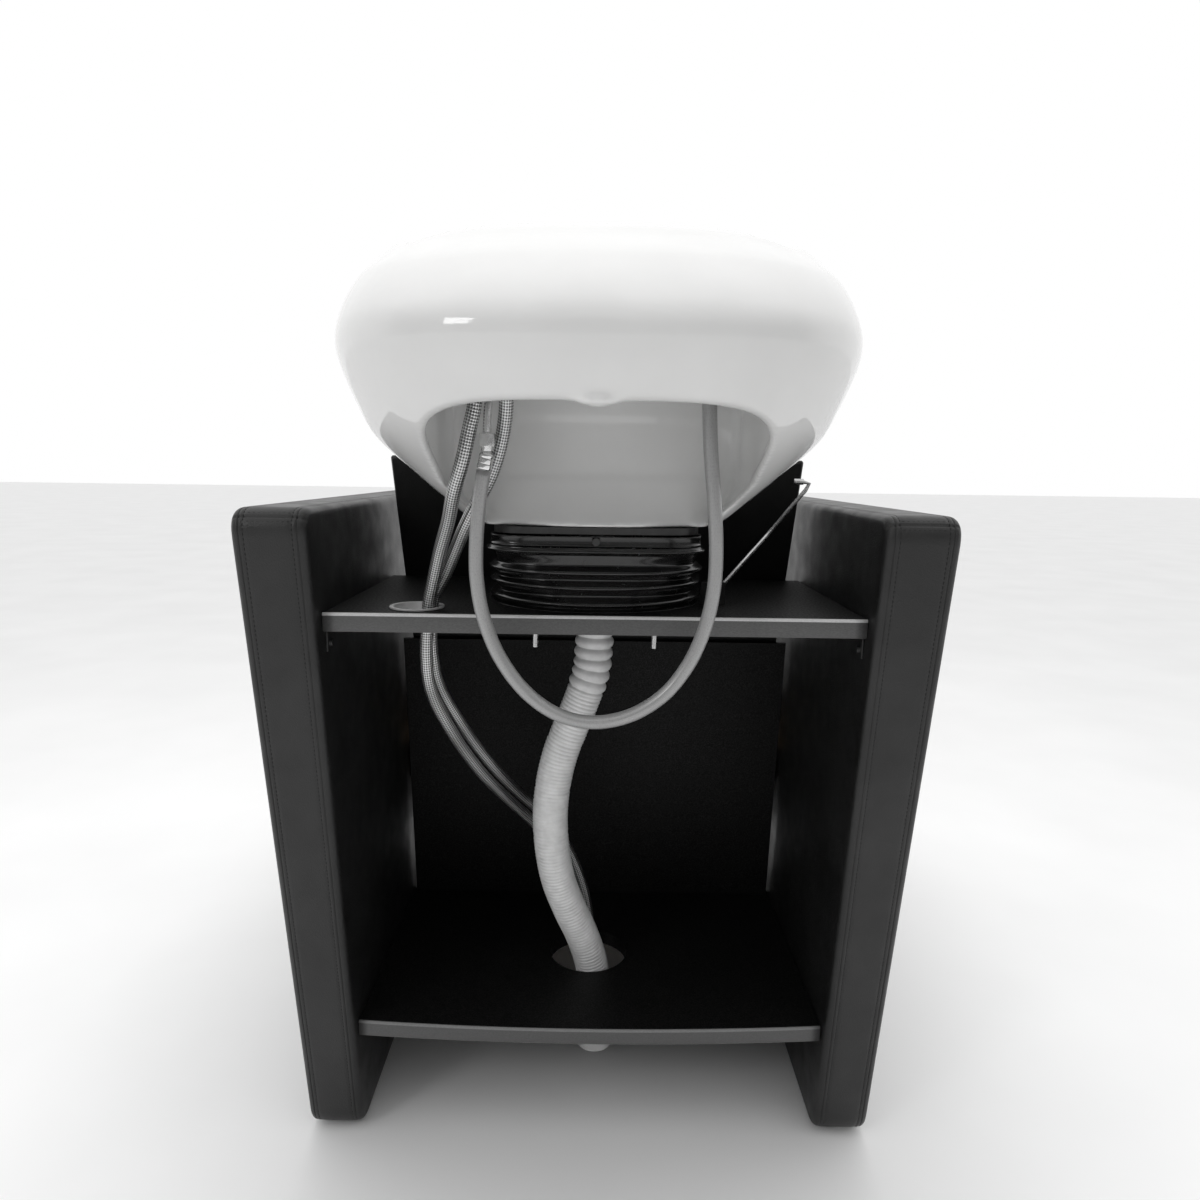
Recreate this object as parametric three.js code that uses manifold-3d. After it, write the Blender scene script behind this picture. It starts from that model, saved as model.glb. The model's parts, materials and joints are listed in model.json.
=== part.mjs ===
// A salon shampoo backwash unit: two padded side panels, shelves and a reclined seat between
// them, and a tilting ceramic basin with its mixer, hand spray, supply hoses and drain hose.
// Millimetres. +X is to the right seen from the rear, +Y points to the front of the seat and
// +Z is up. Inside this file Y = 0 is the rear top edge of the side panels and Z = 0 the floor.
import * as THREE from "three";
import { mergeVertices } from "three/addons/utils/BufferGeometryUtils.js";
import Module from "manifold-3d";

const wasm = await Module();
wasm.setup();

// ---- Driving dimensions -------------------------------------------------------------------
const GAP = 0.3; // between pieces that touch
const CLEAR = 1; // between pieces that slide or turn in each other

const INNER_WIDTH = 530; // between the two side panels
const PANEL_THICKNESS = 72;
const PANEL_TOP = 731;
const PANEL_LENGTH = 900; // along the armrest
const PANEL_REAR_SLANT = 78; // how far the rear edge runs forward on its way to the floor
const PANEL_FRONT_SLANT = 40;
const PANEL_TAPER = 9; // the outer face leans in by this much at the floor
const PANEL_CORNER = 28;
const PANEL_BEVEL = 12;
const CORE_THICKNESS = 36; // the board inside the padding
const CORE_MARGIN = 34;
const GLIDE_HEIGHT = 4;
const GLIDE_RADIUS = 18;
const GLIDE_REAR = 72; // glides in from the panel's rear and front edge at the floor
const GLIDE_FRONT = 60;

const BOARD = 18; // thickness of both shelves
const UPPER_SHELF_TOP = 630;
const UPPER_SHELF_REAR = 31;
const UPPER_SHELF_FRONT = 328;
const LOWER_SHELF_TOP = 150;
const LOWER_SHELF_REAR = 77;
const LOWER_SHELF_BOW = 11;
const LOWER_SHELF_FRONT = 404;
const EDGING = 2.2; // thickness of the edge strips
const EDGING_PROUD = 0.4;
const BRACKET_Y = 48;
const SIDE_GAP = 1; // between a board's ends and the padded panels

const WALL_THICKNESS = 8;
const WALL_TOP = 540;
const WALL_REAR_AT_FLOOR = 397;
const WALL_LEAN = 0.0714; // forward lean per millimetre of height
const WALL_SIDE_GAP = 4;

const SEAT_TOP = 470;
const SEAT_CUSHION_THICKNESS = 90;
const SEAT_REAR = 386;
const SEAT_FRONT = 884;
const FASCIA_BOTTOM = 70;
const CLEAT_HEIGHT = 40;
const CLEAT_WIDTH = 24;

const BACK_SIDE_GAP = 15; // to each side panel
const BACK_TOP = 782;
const BACK_LIFT = 16; // of its lower edge above the seat
const BACK_REAR_AT_TOP = 276;
const BACK_RECLINE = 0.38; // run per millimetre of height
const BACK_BOARD = 14;
const BACK_CUSHION = 62;

const BASIN_CENTRE = 125; // Y of the widest part of the basin
const DRAIN_Y = 165; // Y of the drain and of the tilting base
const BASIN_WALL = 13;
const LIP_TOP = 817; // top of the opening under the rear skirt
const LIP_HALF_WIDTH = 140;
const LIP_SHAPE = 4.5;
const RECESS_CEILING = 872;
const DECK_TOP = 885; // where the mixer and the hand spray stand
const TAP_Y = -15;
const MIXER_X = -92;
const HOLDER_X = 96;
const NOTCH_RADIUS = 80; // where the neck rests
const NOTCH_HEIGHT = 950;
const FOOT_BOTTOM = 713.7;
const FOOT_HALF = 108;
const FOOT_REAR = 52;
const FOOT_FRONT = 214;

const PIVOT_Z = 682;
const PIN_RADIUS = 6;
const CRADLE_THICKNESS = 7;
const BELLOWS_WALL = 3;
const BELLOWS_TOP = 694;
const COLLAR_TOP = 705.4;
const BASE_PLATE = 5;
const BASE_PLATE_RADIUS = 103;
const BASE_BOLT_X = 62;
const BASE_BOLT_YS = [90, 240];
const BOLT_RADIUS = 3;
const BOLT_PROUD = 25; // of the bolts under the upper shelf
const LOCK_ROD_RADIUS = 2.4;

const WASTE_RADIUS = 20;
const DRAIN_HOSE_RADIUS = WASTE_RADIUS + 0.5;
const CUFF_RADIUS = WASTE_RADIUS + 2.5;
const DRAIN_HOLE = WASTE_RADIUS + 6; // in the basin's floor
const DRAIN_PASSAGE = DRAIN_HOLE + 8; // in the tilting base, round the waste
const SUPPLY_RADIUS = 6.5;
const SPRAY_RADIUS = 6.5;
const GROMMET_RADIUS = 27.5;
const GROMMET_HOLE = 23.5;
const GROMMET_WALL = 1.5;
const GROMMET_X = -180;
const GROMMET_Y = 71;
const HOSE_HOLE_RADIUS = 50; // in the lower shelf
const HOSE_HOLE_X = -3;
const HOSE_HOLE_Y = 230;
const WASTE_HOLE_RADIUS = 48; // in the upper shelf

const HALF_INNER = INNER_WIDTH / 2;

// ---- Materials ----------------------------------------------------------------------------
const material = (color, roughness, metalness = 0) =>
  new THREE.MeshStandardMaterial({ color, roughness, metalness });
const LEATHERETTE = material(0x1b1b1b, 0.5);
const WOOD = material(0xb89b72, 0.8);
const BLACK_BOARD = material(0x151515, 0.6);
const GREY_EDGE = material(0x555555, 0.45);
const CERAMIC = material(0xf2f2f0, 0.08);
const BLACK_RUBBER = material(0x0a0a0a, 0.25);
const BLACK_STEEL = material(0x202020, 0.4, 0.6);
const STEEL = material(0xb8b8b8, 0.3, 1);
const CHROME = material(0xe6e6e6, 0.08, 1);
const BRAID = material(0xa8a8a8, 0.35, 0.9);
const GREY_HOSE = material(0x9a9a9a, 0.35, 0.2);
const WHITE_PLASTIC = material(0xe2e2e0, 0.45);
const LIGHT_PLASTIC = material(0xb4b4b4, 0.4);
const BLACK_PLASTIC = material(0x141414, 0.4);

// ---- Shape helpers ------------------------------------------------------------------------
function toSolid(geometry, matrix = new THREE.Matrix4()) {
  const bare = geometry.clone().applyMatrix4(matrix);
  bare.deleteAttribute("normal");
  bare.deleteAttribute("uv");
  const merged = mergeVertices(bare, 1e-4);
  return new wasm.Manifold(
    new wasm.Mesh({
      numProp: 3,
      vertProperties: new Float32Array(merged.attributes.position.array),
      triVerts: new Uint32Array(merged.index.array),
    }),
  );
}

function toGeometry(solid) {
  const mesh = solid.getMesh();
  const geometry = new THREE.BufferGeometry();
  geometry.setAttribute("position", new THREE.BufferAttribute(mesh.vertProperties, 3));
  geometry.setIndex(new THREE.BufferAttribute(mesh.triVerts, 1));
  const flat = geometry.toNonIndexed();
  flat.computeVertexNormals();
  return flat;
}

const at = (x, y, z) => new THREE.Matrix4().makeTranslation(x, y, z);
const turnX = (angle) => new THREE.Matrix4().makeRotationX(angle);
const UPRIGHT = turnX(Math.PI / 2); // lays a cylinder's own axis along Z

const box = (x0, x1, y0, y1, z0, z1) =>
  toSolid(
    new THREE.BoxGeometry(x1 - x0, y1 - y0, z1 - z0),
    at((x0 + x1) / 2, (y0 + y1) / 2, (z0 + z1) / 2),
  );

const rod = (x, y, z0, z1, radius, sides = 16) =>
  toSolid(
    new THREE.CylinderGeometry(radius, radius, z1 - z0, sides),
    at(x, y, (z0 + z1) / 2).multiply(UPRIGHT),
  );

const rodAlongX = (x0, x1, y, z, radius, sides = 16) =>
  toSolid(
    new THREE.CylinderGeometry(radius, radius, x1 - x0, sides),
    at((x0 + x1) / 2, y, z).multiply(new THREE.Matrix4().makeRotationZ(Math.PI / 2)),
  );

// A turned piece from [radius, z] points, first and last on the axis.
const turned = (points, x, y, sides = 20) =>
  toSolid(
    new THREE.LatheGeometry(points.map(([r, z]) => new THREE.Vector2(r, z)), sides),
    at(x, y, 0).multiply(UPRIGHT),
  );

// An outline in the YZ plane made into a plate from x0 to x1.
function plateAcross(shape, x0, x1, bevel = 0, bevelSegments = 3) {
  const geometry = new THREE.ExtrudeGeometry(shape, {
    depth: x1 - x0 - 2 * bevel,
    bevelEnabled: bevel > 0,
    bevelThickness: bevel,
    bevelSize: bevel,
    bevelOffset: -bevel,
    bevelSegments,
    curveSegments: 5,
  });
  const toWorld = new THREE.Matrix4().set(0, 0, 1, x0 + bevel, 1, 0, 0, 0, 0, 1, 0, 0, 0, 0, 0, 1);
  return toSolid(geometry, toWorld);
}

// A polygon with rounded corners from [a, b, radius] points.
function roundedOutline(corners) {
  const shape = new THREE.Shape();
  corners.forEach(([a, b, radius], i) => {
    const here = new THREE.Vector2(a, b);
    const before = corners.at(i - 1);
    const after = corners[(i + 1) % corners.length];
    const back = new THREE.Vector2(before[0], before[1]).sub(here).normalize();
    const ahead = new THREE.Vector2(after[0], after[1]).sub(here).normalize();
    const enter = back.multiplyScalar(radius).add(here);
    const leave = ahead.multiplyScalar(radius).add(here);
    if (i === 0) shape.moveTo(enter.x, enter.y);
    else shape.lineTo(enter.x, enter.y);
    if (radius > 0) shape.quadraticCurveTo(a, b, leave.x, leave.y);
  });
  return shape;
}

const power = (value, exponent) => Math.sign(value) * Math.abs(value) ** exponent;

// A closed skin through level outlines, each { z, w, back, front, n, centre } in millimetres:
// half width, rear and front Y, roundness, and the Y of its widest line.
function lofted(sections, sides = 40) {
  const rings = sections.map(({ z, w, back, front, n, centre }) =>
    Array.from({ length: sides }, (_, i) => {
      const angle = (2 * Math.PI * i) / sides;
      const reach = Math.sin(angle) > 0 ? front - centre : centre - back;
      const x = w * power(Math.cos(angle), 2 / n);
      return [x, centre + reach * power(Math.sin(angle), 2 / n), z];
    }),
  );
  return skinOf(rings);
}

// A closed skin through rings of points, all with the same number of points.
function skinOf(rings) {
  const sides = rings[0].length;
  const points = rings.flat(2);
  const faces = [];
  for (let row = 0; row + 1 < rings.length; row++)
    for (let i = 0; i < sides; i++) {
      const a = row * sides + i;
      const b = row * sides + ((i + 1) % sides);
      faces.push(a, b, b + sides, a, b + sides, a + sides);
    }
  const last = (rings.length - 1) * sides;
  for (let i = 1; i + 1 < sides; i++) faces.push(0, i + 1, i, last, last + i, last + i + 1);
  const geometry = new THREE.BufferGeometry();
  geometry.setAttribute("position", new THREE.Float32BufferAttribute(points, 3));
  geometry.setIndex(faces);
  return toSolid(geometry);
}

// Values between key rows [z, a, b, ...], on a smooth curve through them.
function smoothRows(keys, heights) {
  const slope = (i, k) => {
    const before = keys[Math.max(i - 1, 0)];
    const after = keys[Math.min(i + 1, keys.length - 1)];
    return (after[k] - before[k]) / (after[0] - before[0]);
  };
  return heights.map((z) => {
    let i = keys.findIndex((key) => key[0] >= z) - 1;
    if (i < 0) i = z <= keys[0][0] ? 0 : keys.length - 2;
    const span = keys[i + 1][0] - keys[i][0];
    const t = (z - keys[i][0]) / span;
    const row = keys[i].map((value, k) => {
      const end = keys[i + 1][k];
      const leave = slope(i, k) * span;
      const arrive = slope(i + 1, k) * span;
      const bend = leave * t * (1 - t) ** 2 - arrive * t ** 2 * (1 - t);
      return value + (end - value) * t * t * (3 - 2 * t) + bend;
    });
    row[0] = z;
    return row;
  });
}

const heightsBetween = (low, high, steps) =>
  Array.from({ length: steps + 1 }, (_, i) => low + ((high - low) * i) / steps);

// A round tube along hand-placed points.
function tubeAlong(points, radius, steps, sides = 10) {
  const curve = new THREE.CatmullRomCurve3(points.map((p) => new THREE.Vector3(...p)));
  const section = new THREE.Shape();
  for (let i = 0; i < sides; i++) {
    const angle = (2 * Math.PI * i) / sides;
    if (i === 0) section.moveTo(radius, 0);
    else section.lineTo(radius * Math.cos(angle), radius * Math.sin(angle));
  }
  section.closePath();
  return toSolid(new THREE.ExtrudeGeometry(section, { steps, extrudePath: curve }));
}

const unit = new THREE.Group();

function add(name, solid, look) {
  const mesh = new THREE.Mesh(toGeometry(solid), look);
  mesh.name = name;
  unit.add(mesh);
}

const SIDES = [["left", -1], ["right", 1]];
const mirrorX = (solid, side) => (side > 0 ? solid : solid.mirror([1, 0, 0]));

// ---- Side panels --------------------------------------------------------------------------
const panelRearAt = (z) => PANEL_REAR_SLANT * (1 - z / PANEL_TOP);
const panelFrontAt = (z) => PANEL_LENGTH - PANEL_FRONT_SLANT * (1 - z / PANEL_TOP);

function panelOutline(margin, bottom, corner) {
  const top = PANEL_TOP - margin;
  return roundedOutline([
    [panelRearAt(bottom) + margin, bottom, corner],
    [panelFrontAt(bottom) - margin, bottom, corner],
    [panelFrontAt(top) - margin, top, corner],
    [panelRearAt(top) + margin, top, corner],
  ]);
}

function makePanels() {
  const coreInner = HALF_INNER + (PANEL_THICKNESS - CORE_THICKNESS) / 2;
  const coreOuter = coreInner + CORE_THICKNESS - PANEL_TAPER;
  const outer = HALF_INNER + PANEL_THICKNESS;
  const lean = (v) => {
    const share = (v[0] - HALF_INNER) / PANEL_THICKNESS;
    v[0] -= PANEL_TAPER * share * (1 - v[2] / PANEL_TOP);
  };
  const cover = plateAcross(
    panelOutline(0, GLIDE_HEIGHT + GAP, PANEL_CORNER), HALF_INNER, outer, PANEL_BEVEL,
  ).warp(lean);
  const core = plateAcross(
    panelOutline(CORE_MARGIN, GLIDE_HEIGHT + GAP, 4), coreInner, coreOuter,
  );
  const slot = plateAcross(
    panelOutline(CORE_MARGIN - GAP, 0, 4), coreInner - GAP, coreOuter + GAP,
  );
  const shell = cover.subtract(slot);
  for (const [side, sign] of SIDES) {
    add(`side_panel_cover_${side}`, mirrorX(shell, sign), LEATHERETTE);
    add(`side_panel_core_${side}`, mirrorX(core, sign), WOOD);
    const x = (sign * (coreInner + coreOuter)) / 2;
    const ends = [["rear", panelRearAt(0) + GLIDE_REAR], ["front", panelFrontAt(0) - GLIDE_FRONT]];
    for (const [end, y] of ends)
      add(`glide_${end}_${side}`, rod(x, y, 0, GLIDE_HEIGHT, GLIDE_RADIUS), BLACK_PLASTIC);
  }
}

// ---- Shelves, rear wall and brackets ------------------------------------------------------
const SHELF_HALF = HALF_INNER - SIDE_GAP;

function makeUpperShelf() {
  const bottom = UPPER_SHELF_TOP - BOARD;
  const rear = UPPER_SHELF_REAR + EDGING + GAP;
  let board = box(-SHELF_HALF, SHELF_HALF, rear, UPPER_SHELF_FRONT, bottom, UPPER_SHELF_TOP);
  board = board.subtract(rod(0, DRAIN_Y, bottom - 1, UPPER_SHELF_TOP + 1, WASTE_HOLE_RADIUS, 32));
  board = board.subtract(
    rod(GROMMET_X, GROMMET_Y, bottom - 1, UPPER_SHELF_TOP + 1, GROMMET_HOLE + GROMMET_WALL, 24),
  );
  for (const [x, y] of baseBoltPlaces())
    board = board.subtract(
      rod(x, y, bottom - 1, UPPER_SHELF_TOP + 1, BOLT_RADIUS + GAP, 12),
    );
  add("upper_shelf", board, BLACK_BOARD);
  const strip = box(
    -SHELF_HALF, SHELF_HALF, UPPER_SHELF_REAR, UPPER_SHELF_REAR + EDGING,
    bottom - EDGING_PROUD, UPPER_SHELF_TOP + EDGING_PROUD,
  );
  add("upper_shelf_edging", strip, GREY_EDGE);
}

// The lower shelf's outline seen from above, its rear edge bowed towards the rear.
function bowedBand(rearOffset, front) {
  const rear = LOWER_SHELF_REAR + rearOffset;
  const shape = new THREE.Shape();
  const control = rear - 2 * LOWER_SHELF_BOW;
  shape.moveTo(-SHELF_HALF, rear);
  shape.quadraticCurveTo(0, control, SHELF_HALF, rear);
  shape.lineTo(SHELF_HALF, front ?? rear + EDGING);
  if (front === undefined)
    shape.quadraticCurveTo(0, control + EDGING, -SHELF_HALF, rear + EDGING);
  else shape.lineTo(-SHELF_HALF, front);
  return shape;
}

function flatPiece(shape, z0, z1) {
  return toSolid(
    new THREE.ExtrudeGeometry(shape, { depth: z1 - z0, bevelEnabled: false, curveSegments: 14 }),
    at(0, 0, z0),
  );
}

function makeLowerShelf() {
  const bottom = LOWER_SHELF_TOP - BOARD;
  const outline = bowedBand(EDGING + GAP, LOWER_SHELF_FRONT);
  const hole = rod(
    HOSE_HOLE_X, HOSE_HOLE_Y, bottom - 1, LOWER_SHELF_TOP + 1, HOSE_HOLE_RADIUS, 36,
  );
  add("lower_shelf", flatPiece(outline, bottom, LOWER_SHELF_TOP).subtract(hole), BLACK_BOARD);
  const strip = flatPiece(
    bowedBand(0), bottom - EDGING_PROUD, LOWER_SHELF_TOP + EDGING_PROUD,
  );
  add("lower_shelf_edging", strip, GREY_EDGE);
}

const wallRearAt = (z) => WALL_REAR_AT_FLOOR - WALL_LEAN * z;

function makeFrontWall() {
  const bottom = LOWER_SHELF_TOP + GAP;
  const outline = roundedOutline([
    [wallRearAt(bottom), bottom, 0],
    [wallRearAt(bottom) + WALL_THICKNESS, bottom, 0],
    [wallRearAt(WALL_TOP) + WALL_THICKNESS, WALL_TOP, 0],
    [wallRearAt(WALL_TOP), WALL_TOP, 0],
  ]);
  const half = HALF_INNER - WALL_SIDE_GAP;
  add("front_wall", plateAcross(outline, -half, half), BLACK_BOARD);
}

// A small angle bracket with its screw, under each end of the upper shelf.
function makeBrackets() {
  const top = UPPER_SHELF_TOP - BOARD - GAP;
  const face = HALF_INNER - GAP;
  for (const [side, sign] of SIDES) {
    const leg = box(face - 2, face, BRACKET_Y - 8, BRACKET_Y + 8, top - 22, top);
    const arm = box(face - 22, face, BRACKET_Y - 8, BRACKET_Y + 8, top - 2, top);
    const head = rodAlongX(face - 5, face - 1, BRACKET_Y, top - 14, 4, 12);
    add(`shelf_bracket_${side}`, mirrorX(leg.add(arm).add(head), sign), BLACK_STEEL);
  }
}

// ---- Seat and backrest --------------------------------------------------------------------
function makeSeat() {
  const cushionBottom = SEAT_TOP - SEAT_CUSHION_THICKNESS;
  const boardTop = cushionBottom - GAP;
  const boardBottom = boardTop - BOARD;
  const cleatTop = boardBottom - GAP;
  for (const [side, sign] of SIDES) {
    const inner = HALF_INNER - SIDE_GAP - CLEAT_WIDTH;
    const cleat = box(
      inner, HALF_INNER - SIDE_GAP, SEAT_REAR + 20, SEAT_FRONT - 40,
      cleatTop - CLEAT_HEIGHT, cleatTop,
    );
    add(`seat_cleat_${side}`, mirrorX(cleat, sign), WOOD);
  }
  add(
    "seat_board",
    box(-SHELF_HALF, SHELF_HALF, SEAT_REAR, SEAT_FRONT - 20, boardBottom, boardTop),
    WOOD,
  );
  const fasciaRear = SEAT_FRONT - 34;
  add(
    "front_fascia",
    box(
      -SHELF_HALF, SHELF_HALF, fasciaRear, fasciaRear + BOARD, FASCIA_BOTTOM, boardBottom - GAP,
    ),
    LEATHERETTE,
  );
  const outline = roundedOutline([
    [SEAT_REAR, cushionBottom, 14],
    [SEAT_FRONT, cushionBottom, 14],
    [SEAT_FRONT, SEAT_TOP, 40],
    [SEAT_REAR, SEAT_TOP, 16],
  ]);
  const half = HALF_INNER - 4;
  add("seat_cushion", plateAcross(outline, -half, half, 7, 2), LEATHERETTE);
}

const backRearAt = (z) => BACK_REAR_AT_TOP + BACK_RECLINE * (BACK_TOP - z);

// A reclined slab whose rear face lies `depth` in front of the backrest's rear face.
function backSlab(depth, thickness, corner, inset, bevel) {
  const slant = Math.hypot(1, BACK_RECLINE);
  const near = depth * slant;
  const far = (depth + thickness) * slant;
  const low = SEAT_TOP + BACK_LIFT + inset;
  const high = BACK_TOP - inset;
  const outline = roundedOutline([
    [backRearAt(low) + near, low, corner],
    [backRearAt(low) + far, low, corner],
    [backRearAt(high) + far, high, corner],
    [backRearAt(high) + near, high, corner],
  ]);
  const half = HALF_INNER - BACK_SIDE_GAP - inset;
  return plateAcross(outline, -half, half, bevel, 2);
}

function makeBackrest() {
  add("backrest_board", backSlab(0, BACK_BOARD, 6, 0, 2), LEATHERETTE);
  add("backrest_cushion", backSlab(BACK_BOARD + GAP, BACK_CUSHION, 20, 1, 8), LEATHERETTE);
}

// ---- Tilting base -------------------------------------------------------------------------
const baseBoltPlaces = () =>
  BASE_BOLT_YS.flatMap((y) => [[-BASE_BOLT_X, y], [BASE_BOLT_X, y]]);

const EAR_X = 56; // outer face of the fixed ears
const EAR = 6;

function makeTiltBase() {
  const floor = UPPER_SHELF_TOP + GAP;
  let base = rod(0, DRAIN_Y, floor, floor + BASE_PLATE, BASE_PLATE_RADIUS, 28);
  base = base.subtract(rod(0, DRAIN_Y, floor - 1, floor + BASE_PLATE + 1, DRAIN_PASSAGE, 28));
  for (const sign of [-1, 1]) {
    const x = sign * (EAR_X - EAR / 2);
    const ear = box(
      x - EAR / 2, x + EAR / 2, DRAIN_Y - 20, DRAIN_Y + 20, floor + BASE_PLATE - 1, PIVOT_Z,
    );
    const round = rodAlongX(x - EAR / 2, x + EAR / 2, DRAIN_Y, PIVOT_Z, 16);
    base = base.add(ear).add(round);
    base = base.subtract(rodAlongX(x - EAR, x + EAR, DRAIN_Y, PIVOT_Z, PIN_RADIUS + GAP));
  }
  for (const [x, y] of baseBoltPlaces())
    base = base.subtract(rod(x, y, floor - 1, floor + BASE_PLATE + 1, BOLT_RADIUS + GAP, 12));
  add("tilt_base", base, BLACK_STEEL);
}

function makeBaseBolts() {
  const seat = UPPER_SHELF_TOP + GAP + BASE_PLATE + GAP;
  const under = UPPER_SHELF_TOP - BOARD - GAP;
  const tip = UPPER_SHELF_TOP - BOARD - BOLT_PROUD;
  baseBoltPlaces().forEach(([x, y], i) => {
    const shank = rod(x, y, tip, seat + 1, BOLT_RADIUS, 12);
    const head = rod(x, y, seat, seat + 5, 2 * BOLT_RADIUS, 6);
    const washer = rod(x, y, under - 1.5, under, 8, 20);
    const nut = rod(x, y, under - 6.5, under - 1.2, 5.6, 6);
    add(`base_bolt_${i + 1}`, shank.add(head).add(washer).add(nut), STEEL);
  });
}

const CRADLE_TOP = FOOT_BOTTOM - GAP;
const footSection = (inset, z, n = 5) => ({
  z,
  w: FOOT_HALF - inset,
  back: FOOT_REAR + inset,
  front: FOOT_FRONT - inset,
  n,
  centre: BASIN_CENTRE,
});

function makeCradle() {
  const under = CRADLE_TOP - CRADLE_THICKNESS;
  let cradle = lofted([footSection(4, under), footSection(4, CRADLE_TOP)], 32);
  cradle = cradle.subtract(rod(0, DRAIN_Y, under - 1, CRADLE_TOP + 1, DRAIN_PASSAGE + 2, 28));
  for (const sign of [-1, 1]) {
    const x = sign * (EAR_X - EAR - CLEAR - EAR / 2);
    const ear = box(x - EAR / 2, x + EAR / 2, DRAIN_Y - 16, DRAIN_Y + 16, PIVOT_Z, under + 1);
    const round = rodAlongX(x - EAR / 2, x + EAR / 2, DRAIN_Y, PIVOT_Z, 14);
    cradle = cradle.add(ear).add(round);
    cradle = cradle.subtract(rodAlongX(x - EAR, x + EAR, DRAIN_Y, PIVOT_Z, PIN_RADIUS + GAP));
  }
  add("tilt_cradle", cradle, BLACK_STEEL);
  for (const [side, sign] of SIDES) {
    const inner = EAR_X - 2 * EAR - CLEAR - 3;
    const pin = rodAlongX(inner, EAR_X + 3, DRAIN_Y, PIVOT_Z, PIN_RADIUS);
    const head = rodAlongX(EAR_X + GAP, EAR_X + 5, DRAIN_Y, PIVOT_Z, PIN_RADIUS + 3);
    add(`tilt_pin_${side}`, mirrorX(pin.add(head), sign), STEEL);
  }
}

// The lock rod pivots in a small block beside the bellows and reaches up past the armrest.
const LOCK_X = 132;
const LOCK_Y = 124;
const LOCK_Z = UPPER_SHELF_TOP + 16;
const LOCK_RUN = [14, 18]; // the rod's first run, level direction

function makeTiltLock() {
  const floor = UPPER_SHELF_TOP + GAP;
  const heading = Math.atan2(LOCK_RUN[1], LOCK_RUN[0]);
  const block = toSolid(
    new THREE.BoxGeometry(22, 18, LOCK_Z + 8 - floor),
    at(LOCK_X, LOCK_Y, (LOCK_Z + 8 + floor) / 2)
      .multiply(new THREE.Matrix4().makeRotationZ(heading))
      .multiply(at(-11 - 2 * CLEAR, 0, 0)),
  );
  add("tilt_lock_block", block, BLACK_STEEL);
  const path = [
    [LOCK_X, LOCK_Y, LOCK_Z], [LOCK_X + LOCK_RUN[0], LOCK_Y + LOCK_RUN[1], LOCK_Z + 11],
    [172, 178, 677], [201, 219, 699], [222, 224, 724], [241, 226, 747], [246, 227, 753],
    [245, 227, 757], [238, 227, 757.5],
  ];
  const wire = tubeAlong(path, LOCK_ROD_RADIUS, 24, 8);
  const tip = rodAlongX(228, 239, 227, 757.5, LOCK_ROD_RADIUS + 1, 12);
  add("tilt_lock_rod", wire.add(tip), STEEL);
}

// The bellows' folds, as shares of its height from the shelf up and the radius there.
const BELLOWS_RIDGES = [
  [1, 109], [0.937, 113], [0.874, 106], [0.733, 105], [0.608, 114], [0.49, 106],
  [0.372, 115], [0.239, 107], [0.105, 116], [0.042, 110], [0, 116],
];

// Level outlines of the rubber bellows: nearly square under the basin's foot, round below.
function bellowsRows(inset) {
  const low = UPPER_SHELF_TOP + GAP;
  return BELLOWS_RIDGES.map(([share, radius]) => {
    const z = low + (BELLOWS_TOP - low) * share;
    const roundBack = DRAIN_Y - radius;
    const back = roundBack + (48 - (DRAIN_Y - 109)) * share ** 2;
    const front = DRAIN_Y + radius - (radius - 52) * share ** 2;
    const centre = DRAIN_Y + (BASIN_CENTRE - DRAIN_Y) * share ** 2;
    const n = 2.1 + 2.2 * share ** 2;
    return { z, w: radius - inset, back: back + inset, front: front - inset, n, centre };
  });
}

function makeBellows() {
  const skin = bellowsRows(0).reverse();
  const hollow = bellowsRows(BELLOWS_WALL).reverse();
  hollow[0].z -= 1;
  hollow.at(-1).z += 1;
  add("bellows", lofted(skin, 28).subtract(lofted(hollow, 28)), BLACK_RUBBER);
  const low = BELLOWS_TOP + GAP;
  const ring = lofted([footSection(0, low), footSection(0, COLLAR_TOP)], 32);
  const inside = lofted([footSection(5, low - 1), footSection(5, COLLAR_TOP + 1)], 32);
  add("bellows_collar", ring.subtract(inside), BLACK_RUBBER);
  const screw = toSolid(
    new THREE.CylinderGeometry(4, 4, 3, 14),
    at(0, FOOT_REAR - 1.5 - GAP, (low + COLLAR_TOP) / 2),
  );
  add("collar_screw", screw, BLACK_STEEL);
}

// ---- Basin --------------------------------------------------------------------------------
// Rows of the basin's outside: height, half width, rear Y, front Y, roundness.
const BASIN_OUTSIDE = [
  [FOOT_BOTTOM, FOOT_HALF, FOOT_REAR, FOOT_FRONT, 5],
  [718, 124, 36, 224, 4.4],
  [737, 148, 6, 229, 3.6],
  [760, 173, -54, 234, 3.0],
  [794, 207, -124, 256, 2.8],
  [820, 222, -154, 294, 2.6],
  [860, 237, -168, 334, 2.6],
  [885, 238, -160, 345, 2.6],
  [920, 227, -122, 348, 2.6],
  [945, 212, -80, 345, 2.5],
  [958, 199, -62, 340, 2.5],
];
// Rows of the inside: height, half width, rear Y, front Y, roundness.
const BASIN_INSIDE = [
  [739, 44, 121, 209, 2],
  [752, 88, 116, 214, 2.2],
  [780, 134, 110, 226, 2.4],
  [830, 186, 98, 280, 2.5],
  [880, 210, 84, 320, 2.5],
  [930, 197, 62, 328, 2.5],
  [970, 178, 54, 322, 2.4],
];

function basinSections(keys, heights, centre, inset = 0) {
  return smoothRows(keys, heights).map(([z, w, back, front, n]) => ({
    z, w: w - inset, back: back + inset, front: front - inset, n, centre,
  }));
}

// Half width of the space under the rear skirt, and the Y of the hull behind it.
const RECESS = [
  [700, 96, 34], [714, 103, 49], [725, 114, 58], [740, 128, 66], [762, 139, 73],
  [800, 140, 77], [850, 140, 78], [RECESS_CEILING, 128, 70],
];
const RECESS_DEEPER = 26; // how much further in it reaches at its two sides

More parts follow.
